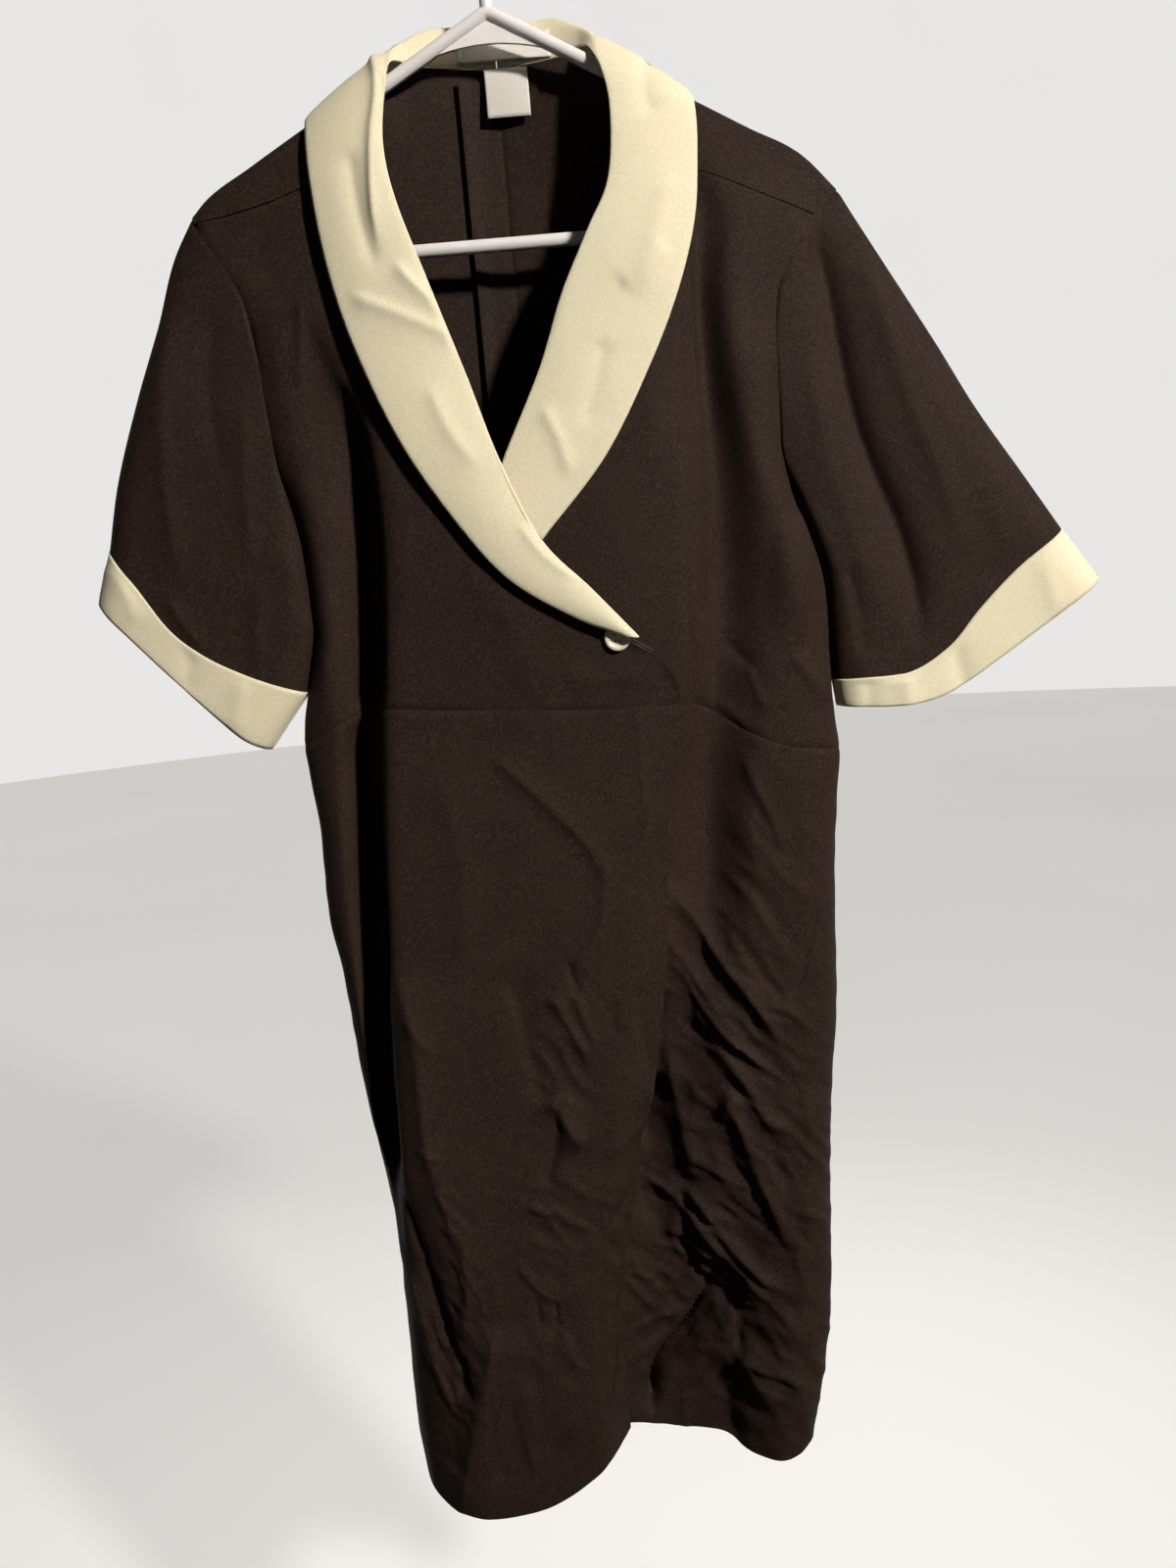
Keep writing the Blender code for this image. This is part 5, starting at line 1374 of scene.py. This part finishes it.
def button_thread(seat):
    """Thread through the four holes, in two upright bars."""
    runs = [[(BUTTON_CENTRE[0] + side * BUTTON_HOLE_SPACING + beside, seat + drop,
              BUTTON_CENTRE[1] + up) for up, drop in BUTTON_THREAD]
            for side in (-1, 1) for beside in (-THREAD_BESIDE, THREAD_BESIDE)]
    add_piece(thread_mesh("button_thread", runs, THREAD_RADIUS), button_yarn)


def buttonhole(grid, seat):
    """Slit edged with close purl stitches, beside the button."""
    width = grid.shape[1]
    cloth_face = BVHTree.FromPolygons(
        [tuple(point) for point in grid.reshape(-1, 3)],
        [(a, a + 1, a + 1 + width, a + width) for row in range(grid.shape[0] - 1)
         for a in range(row * width, (row + 1) * width - 1)])
    start, end = np.array(BUTTONHOLE)
    way = unit(end - start)
    aside = np.array((-way[1], way[0]))
    runs = []
    for share in np.linspace(0, 1, PURLS):
        for side in (-1, 1):
            run = []
            for reach, lift in PURL_STITCH:
                x, z = start + (end - start) * share + aside * side * reach
                run.append((x, cloth_face.find_nearest(Vector((x, seat, z)))[0].y - lift, z))
            runs.append(run)
    add_piece(thread_mesh("buttonhole_purl", runs, PURL_RADIUS), buttonhole_yarn)


def topstitching(name, line, normals):
    """A row of bowed stitches along a line of points on cloth with the given normals."""
    run = run_along(line)
    bow = np.array(TOPSTITCH_BOW)[:, None] * TOPSTITCH_RADIUS
    runs = []
    for begin in np.arange(TOPSTITCH_GAP, run[-1] - TOPSTITCH_LONG, TOPSTITCH_LONG + TOPSTITCH_GAP):
        at = begin + np.linspace(0, TOPSTITCH_LONG, len(bow))
        runs.append(read_line(at, run, line) + read_line(at, run, normals) * bow)
    add_piece(thread_mesh(name, runs, TOPSTITCH_RADIUS), collar_yarn)


def woven_label(row):
    """Bare woven label: a thin tape, bowed a little off the collar between its sewn ends."""
    across = np.linspace(-row.wide / 2, row.wide / 2, LABEL_COLUMNS)
    up = np.linspace(row.tall / 2, -row.tall / 2, LABEL_ROWS)
    x, z = np.meshgrid(across, up)
    y = -row.bow * np.cos(math.pi * x / row.wide) * np.sin(math.pi * (z / row.tall + 0.5))
    turn = math.radians(row.lean)
    grid = np.stack((x, y * math.cos(turn) - z * math.sin(turn),
                     y * math.sin(turn) + z * math.cos(turn)), axis=-1) + row.centre
    cloth(row.node, grid, 1, tape, row.thick)


# ---- materials -----------------------------------------------------------------------------

BAND = 0.314           # a wave texture at scale 1 has its bands this far apart
SHARE, FIRST, SECOND, MIXED = 0, 6, 7, 2   # a colour mix's inputs, and its output


def linear(colour):
    """Linear RGBA of an sRGB hex colour."""
    parts = [int(colour[place:place + 2], 16) / 255 for place in (1, 3, 5)]
    return tuple(part / 12.92 if part <= 0.04045 else ((part + 0.055) / 1.055) ** 2.4
                 for part in parts) + (1.0,)


def node(tree, kind, feeds=None, **settings):
    """Add a shader node; feeds are what flows into its inputs, settings are all else."""
    made = tree.nodes.new(kind)
    for name, value in settings.items():
        if hasattr(made, name):
            setattr(made, name, value)
        else:
            made.inputs[name.replace("_", " ")].default_value = value
    for name, source in (feeds or {}).items():
        if isinstance(source, bpy.types.NodeSocket):
            tree.links.new(source, made.inputs[name])
        else:
            made.inputs[name].default_value = source
    return made


def surface(name, roughness, **settings):
    """A new material, its node tree, its shader and the place that its patterns lie in."""
    material = bpy.data.materials.new(name)
    material.use_nodes = True
    tree = material.node_tree
    shader = tree.nodes["Principled BSDF"]
    shader.inputs["Roughness"].default_value = roughness
    for setting, value in settings.items():
        shader.inputs[setting.replace("_", " ")].default_value = value
    return material, tree, shader, node(tree, "ShaderNodeTexCoord").outputs["Object"]


def gabardine(name, dark, light, fleck, relief, roughness):
    """Twill cloth: steep fine ribs, threads that vary a little, and a soft dull sheen.

    The ribs of the real cloth are 0.4 mm apart; they are drawn 1.1 mm apart, because finer
    ones would only flicker at this distance. Single threads catch the light as flecks, and
    broad patches are a little more faded than others.
    """
    material, tree, shader, place = surface(name, roughness, Sheen_Weight=0.02,
                                            Sheen_Roughness=0.5, Specular_IOR_Level=0.1)
    shader.inputs["Sheen Tint"].default_value = linear(light)
    turned = node(tree, "ShaderNodeMapping", {"Vector": place}, Rotation=(0, math.radians(27), 0))
    ribs = node(tree, "ShaderNodeTexWave", {"Vector": turned.outputs["Vector"]},
                wave_type="BANDS", bands_direction="X", wave_profile="SIN",
                Scale=BAND / (1.1 * MM), Distortion=0.6, Detail=1.0, Detail_Scale=3.0)
    threads = node(tree, "ShaderNodeTexNoise", {"Vector": place}, Scale=1 / (1.6 * MM),
                   Detail=2.0, Roughness=0.6)
    wear = node(tree, "ShaderNodeTexNoise", {"Vector": place}, Scale=1 / (45 * MM), Detail=3.0,
                Roughness=0.55)
    faded = node(tree, "ShaderNodeMapRange", {"Value": wear.outputs["Fac"]}, To_Min=-0.1,
                 To_Max=0.1)
    uneven = node(tree, "ShaderNodeMath", {0: faded.outputs["Result"], 1: threads.outputs["Fac"]},
                  operation="ADD")
    share = node(tree, "ShaderNodeMapRange", {"Value": uneven.outputs["Value"]}, From_Min=0.32,
                 From_Max=0.68)
    base = node(tree, "ShaderNodeMix", {SHARE: share.outputs["Result"], FIRST: linear(dark),
                                        SECOND: linear(light)}, data_type="RGBA")
    flecks = node(tree, "ShaderNodeMapRange", {"Value": threads.outputs["Fac"]}, From_Min=0.56,
                  From_Max=0.74, To_Min=0.0, To_Max=0.35)
    colour = node(tree, "ShaderNodeMix", {SHARE: flecks.outputs["Result"], SECOND: linear(fleck),
                                          FIRST: base.outputs[MIXED]}, data_type="RGBA")
    tree.links.new(colour.outputs[MIXED], shader.inputs["Base Color"])
    height = node(tree, "ShaderNodeMath", {0: ribs.outputs["Fac"], 1: threads.outputs["Fac"]},
                  operation="ADD")
    bump = node(tree, "ShaderNodeBump", {"Height": height.outputs["Value"]}, Strength=relief,
                Distance=0.1 * MM)
    tree.links.new(bump.outputs["Normal"], shader.inputs["Normal"])
    return material


def ivory_resin():
    """Pale, slightly see-through button resin with soft clouding and a clean gloss."""
    material, tree, shader, place = surface("ivory polyester resin", 0.24, Subsurface_Weight=0.15,
                                            Subsurface_Scale=1.5 * MM, Coat_Weight=0.15)
    cloud = node(tree, "ShaderNodeTexNoise", {"Vector": place}, Scale=1 / (6 * MM), Detail=2.0)
    colour = node(tree, "ShaderNodeMix", {SHARE: cloud.outputs["Fac"], FIRST: linear("#d9cdb2"),
                                          SECOND: linear("#efe8d6")}, data_type="RGBA")
    tree.links.new(colour.outputs[MIXED], shader.inputs["Base Color"])
    return material


def moulded_white():
    """White styrene moulding: even colour, faint flow marks, half-gloss skin."""
    material, tree, shader, place = surface("white moulded polystyrene", 0.34,
                                            Specular_IOR_Level=0.5)
    flow = node(tree, "ShaderNodeTexNoise", {"Vector": place}, Scale=1 / (20 * MM), Detail=3.0)
    colour = node(tree, "ShaderNodeMix", {SHARE: flow.outputs["Fac"], FIRST: linear("#e9e4e1"),
                                          SECOND: linear("#f5f2ef")}, data_type="RGBA")
    tree.links.new(colour.outputs[MIXED], shader.inputs["Base Color"])
    dents = node(tree, "ShaderNodeBump", {"Height": flow.outputs["Fac"]}, Strength=0.25,
                 Distance=0.4 * MM)
    tree.links.new(dents.outputs["Normal"], shader.inputs["Normal"])
    return material


def woven_tape():
    """Bare label tape: white satin ground with close cross ribs, 0.9 mm apart."""
    material, tree, shader, place = surface("white woven label tape", 0.5, Sheen_Weight=0.2)
    ribs = node(tree, "ShaderNodeTexWave", {"Vector": place}, wave_type="BANDS",
                bands_direction="Z", Scale=BAND / (0.9 * MM), Distortion=0.3)
    colour = node(tree, "ShaderNodeMix", {SHARE: ribs.outputs["Fac"], FIRST: linear("#cfcac0"),
                                          SECOND: linear("#e6e2d9")}, data_type="RGBA")
    tree.links.new(colour.outputs[MIXED], shader.inputs["Base Color"])
    bump = node(tree, "ShaderNodeBump", {"Height": ribs.outputs["Fac"]}, Strength=0.4,
                Distance=0.1 * MM)
    tree.links.new(bump.outputs["Normal"], shader.inputs["Normal"])
    return material


def spun_thread(name, dark, light):
    """Twisted sewing thread, lighter along the twist."""
    material, tree, shader, place = surface(name, 0.6, Sheen_Weight=0.2)
    twist = node(tree, "ShaderNodeTexNoise", {"Vector": place}, Scale=1 / (1.2 * MM), Detail=1.0)
    colour = node(tree, "ShaderNodeMix", {SHARE: twist.outputs["Fac"], FIRST: linear(dark),
                                          SECOND: linear(light)}, data_type="RGBA")
    tree.links.new(colour.outputs[MIXED], shader.inputs["Base Color"])
    return material


def painted(name, dark, light, glow, returned):
    """Smooth painted studio surface, very slightly uneven in tone.

    It glows evenly, and returns a share of the light that falls on it.
    """
    material, tree, shader, place = surface(name, 0.75, Emission_Strength=glow)
    tone = node(tree, "ShaderNodeTexNoise", {"Vector": place}, Scale=0.8, Detail=2.0)
    paint = node(tree, "ShaderNodeMix", {SHARE: tone.outputs["Fac"], FIRST: linear(dark),
                                         SECOND: linear(light)}, data_type="RGBA")
    dimmed = node(tree, "ShaderNodeMix", {SHARE: returned, FIRST: linear("#000000"),
                                          SECOND: paint.outputs[MIXED]}, data_type="RGBA")
    tree.links.new(dimmed.outputs[MIXED], shader.inputs["Base Color"])
    tree.links.new(paint.outputs[MIXED], shader.inputs["Emission Color"])
    return material


Finish = namedtuple("Finish", "material slot")
brown = Finish(gabardine("brown polyester gabardine", "#231914", "#362921", "#493b31", 0.8, 0.7),
               "brown_gabardine")
cream = Finish(gabardine("cream polyester gabardine", "#e3d9b7", "#ece4c6", "#f3edda", 0.5, 0.7),
               "cream_gabardine")
ivory = Finish(ivory_resin(), "ivory_button")
white = Finish(moulded_white(), "white_moulding")
tape = Finish(woven_tape(), "label_tape")
cream_thread = spun_thread("cream polyester thread", "#cfc6a2", "#efe8cf")
collar_yarn = Finish(cream_thread, cream.slot)
button_yarn = Finish(cream_thread, ivory.slot)
buttonhole_yarn = Finish(spun_thread("brown polyester thread", "#241a16", "#3a2b24"), brown.slot)


# ---- building the dress ------------------------------------------------------------------

bodice_over, skirt_over = front_panels(
    [side_reader(SIDE_RIGHT, FRONT)] + rail_readers(FRONT_RIGHT), HEM_OVER,
    BODICE_RIGHT_LENGTH, SKIRT_RIGHT_LENGTH, (True, False))
bodice_under, skirt_under = front_panels(
    rail_readers(FRONT_LEFT) + [side_reader(SIDE_LEFT, FRONT)], HEM_UNDER,
    BODICE_LEFT_LENGTH, SKIRT_LEFT_LENGTH, (False, True))
back_right, flap_right = back_half(BACK_RIGHT, SIDE_RIGHT, bodice_over[0])
back_left, flap_left = back_half(BACK_LEFT, SIDE_LEFT, bodice_under[0])
loops_right = armhole_loops(bodice_over, back_right, flap_right, -1)
loops_left = armhole_loops(bodice_under[:, ::-1], back_left, flap_left, 1)
seat = button_seat(bodice_over)

# each panel has a seed of its own for its swells and small folds
bodice_over = pressed(bodice_over, 1, CREASES_BODICE_OVER, seen_from_place,
                      ("top", "bottom", "left"), 3)
skirt_over = pressed(skirt_over, 1, CREASES_SKIRT_OVER, seen_from_place, ("top", "left"), 11,
                     CRUMPLES_SKIRT_OVER, hemmed=True)
bodice_under = pressed(bodice_under, 1, CREASES_BODICE_UNDER, seen_from_place,
                       ("top", "bottom", "right"), 19)
skirt_under = pressed(skirt_under, 1, CREASES_SKIRT_UNDER, seen_from_place, ("top", "right"), 27,
                      CRUMPLES_SKIRT_UNDER, hemmed=True)
skirt_behind = pressed(back_skirt(), -1, CREASES_SKIRT_BACK, seen_square_on,
                       ("top", "left", "right"), 35, hemmed=True)

for name, grid, out in (("bodice_front_right", bodice_over, 1),
                        ("skirt_front_right", skirt_over, 1),
                        ("bodice_front_left", bodice_under, 1),
                        ("skirt_front_left", skirt_under, 1),
                        ("skirt_back", skirt_behind, -1),
                        ("back_pleat_underlay", pleat_underlay(back_right, back_left), -1)):
    cloth(name, grid, out, brown)
back_piece("bodice_back_right", back_right, flap_right, -1, 43)
back_piece("bodice_back_left", back_left, flap_left, 1, 51)
sleeve("sleeve_right", loops_right, SLEEVE_RIGHT, 1, CREASES_SLEEVE_RIGHT, 59)
sleeve("sleeve_left", loops_left, SLEEVE_LEFT, -1, CREASES_SLEEVE_LEFT, 67)
cuff("cuff_right", loops_right, SLEEVE_RIGHT, 1, CREASES_CUFF_RIGHT, 75)
cuff("cuff_left", loops_left, SLEEVE_LEFT, -1, CREASES_CUFF_LEFT, 83)

topstitching("collar_topstitch_right",
             *collar("collar_right", COLLAR_RIGHT, -1, CREASES_COLLAR_RIGHT, 91))
topstitching("collar_topstitch_left",
             *collar("collar_left", COLLAR_LEFT, 1, CREASES_COLLAR_LEFT, 99))
hard_piece("hanger_moulding", shaped_by(hanger_frame(), [hanger_hook(), hanger_web()], "UNION"),
           white, "hanger", HANGER_CREASE)
button(seat)
button_thread(seat)
buttonhole(bodice_over, seat)
for row in LABELS:
    woven_label(row)

# what shows of each piece's cut, laid flat: width and length in metres, and area; a tube
# is measured all round
CUTS = table(
    "piece wide long area held rests_on stitches",
    ("bodice_front_right", 0.300, 0.405, 0.064, "hung", ["hanger"],
     ["buttonhole_purl", "button_thread"]),
    ("bodice_front_left", 0.265, 0.425, 0.075, "hung", ["hanger"], []),
    ("skirt_front_right", 0.275, 0.620, 0.154, "hung", ["bodice_front_right"], []),
    ("skirt_front_left", 0.270, 0.615, 0.156, "hung", ["bodice_front_left"], []),
    ("skirt_back", 0.385, 0.600, 0.222, "hung", ["bodice_back_right", "bodice_back_left"], []),
    ("bodice_back_right", 0.220, 0.445, 0.080, "hung", ["hanger"], []),
    ("bodice_back_left", 0.225, 0.480, 0.089, "hung", ["hanger"], []),
    ("back_pleat_underlay", 0.054, 0.430, 0.023, "hung", ["bodice_back_right"], []),
    ("sleeve_right", 0.300, 0.270, 0.059, "hung", ["hanger", "bodice_front_right"], []),
    ("sleeve_left", 0.370, 0.300, 0.079, "hung", ["hanger", "bodice_front_left"], []),
    ("cuff_right", 0.350, 0.036, 0.0125, "folded", ["sleeve_right"], []),
    ("cuff_left", 0.415, 0.036, 0.0148, "folded", ["sleeve_left"], []),
    ("collar_right", 0.085, 0.490, 0.031, "folded", ["hanger", "bodice_front_right"],
     ["collar_topstitch_right"]),
    ("collar_left", 0.085, 0.440, 0.030, "folded", ["hanger", "bodice_front_left"],
     ["collar_topstitch_left"]),
    ("label_neck", 0.062, 0.020, 0.00124, "laid", ["collar_right", "collar_left"], []),
    ("label_care", 0.029, 0.031, 0.00089, "hung", ["collar_left"], []))


# ---- floor, light and camera, in metres ----------------------------------------------------

MIDDLE = Vector((0.02, 0.0, -0.68))        # of the dress, which all lamps point at
FLOOR, FLOOR_REACH = -1.6, 12.0
WALL_REACH, WALL_TOP, WALL_SIDES = 9.0, 8.0, 96

LAMPS = table(
    "name way far size power colour spread",
    ("key_light", (0.567, -0.63, 0.53), 3.2, 0.28, 35, "#fff9f2", 100),
    ("front_fill", (-0.55, -0.8, 0.2), 2.6, 1.6, 0.6, "#f2f5ff", 180),
    ("back_light", (0.4, 0.85, 0.35), 3.0, 0.5, 15, "#fff9f2", 70))

PICTURE = (1200, 1600)
FOCAL = 1202           # in pixels of the picture
SENSOR = 36            # millimetres along the picture's longer side
PITCH, ROLL = math.radians(10), math.radians(-4.8)


def light_the_dress():
    for lamp in LAMPS:
        data = bpy.data.lights.new(lamp.name, "AREA")
        data.shape = "DISK"
        data.size = lamp.size
        data.energy = lamp.power
        data.spread = math.radians(lamp.spread)
        data.color = linear(lamp.colour)[:3]
        stand = linked(lamp.name, data)
        stand.location = MIDDLE + lamp.far * Vector(lamp.way)
        stand.rotation_euler = (MIDDLE - stand.location).to_track_quat("-Z", "Y").to_euler()


def studio_world():
    """Pale surroundings, bright behind the dress and dimmer in front of it."""
    world = bpy.data.worlds.new("studio")
    world.use_nodes = True
    tree = world.node_tree
    way = node(tree, "ShaderNodeTexCoord").outputs["Generated"]
    depth = node(tree, "ShaderNodeSeparateXYZ", {"Vector": way})
    share = node(tree, "ShaderNodeMapRange", {"Value": depth.outputs["Y"]},
                 interpolation_type="SMOOTHSTEP", From_Min=0.0, From_Max=0.8)
    tone = node(tree, "ShaderNodeMix", {SHARE: share.outputs["Result"], FIRST: linear("#2c2c2d"),
                                        SECOND: linear("#f4f3f2")}, data_type="RGBA")
    tree.links.new(tone.outputs[MIXED], tree.nodes["Background"].inputs["Color"])
    tree.nodes["Background"].inputs["Strength"].default_value = 1.0
    bpy.context.scene.world = world


def backdrop(name, points, faces, material):
    """Part of the studio that is seen but sends no light of its own onto the cloth."""
    mesh = bpy.data.meshes.new(name)
    mesh.from_pydata(points, [], faces)
    mesh.materials.append(material)
    stand = linked(name, mesh)
    stand.visible_diffuse = stand.visible_glossy = stand.visible_shadow = False


def stand_the_camera():
    """Camera at the viewing place, pitched down and rolled as the photograph was."""
    forward = Vector((0, math.cos(PITCH), -math.sin(PITCH)))
    level_right = Vector((1, 0, 0))
    level_up = level_right.cross(forward)
    right = level_right * math.cos(ROLL) + level_up * math.sin(ROLL)
    up = level_up * math.cos(ROLL) - level_right * math.sin(ROLL)
    lens = bpy.data.cameras.new("camera")
    lens.sensor_width = SENSOR
    lens.lens = SENSOR * FOCAL / max(PICTURE)
    camera = linked("camera", lens)
    camera.matrix_world = (Matrix.Translation(Vector(VIEWING_PLACE) * MM)
                           @ Matrix((right, up, -forward)).transposed().to_4x4())
    bpy.context.scene.camera = camera


light_the_dress()
studio_world()
backdrop("floor", [(x * FLOOR_REACH, y * FLOOR_REACH, FLOOR) for x, y in
                   ((-1, -1), (1, -1), (1, 1), (-1, 1))], [(0, 1, 2, 3)],
         painted("pale painted floor", "#dedcd8", "#e6e4e1", 0.62, 0.5))
backdrop("round_wall",
         [(WALL_REACH * math.cos(turn), WALL_REACH * math.sin(turn), height)
          for height in (FLOOR, WALL_TOP)
          for turn in np.linspace(0, 2 * math.pi, WALL_SIDES, endpoint=False).tolist()],
         [(side, (side + 1) % WALL_SIDES, WALL_SIDES + (side + 1) % WALL_SIDES, WALL_SIDES + side)
          for side in range(WALL_SIDES)],
         painted("pale painted wall", "#eeedeb", "#f2f1f0", 0.92, 0.04))
stand_the_camera()
bpy.context.scene.view_settings.view_transform = "Standard"
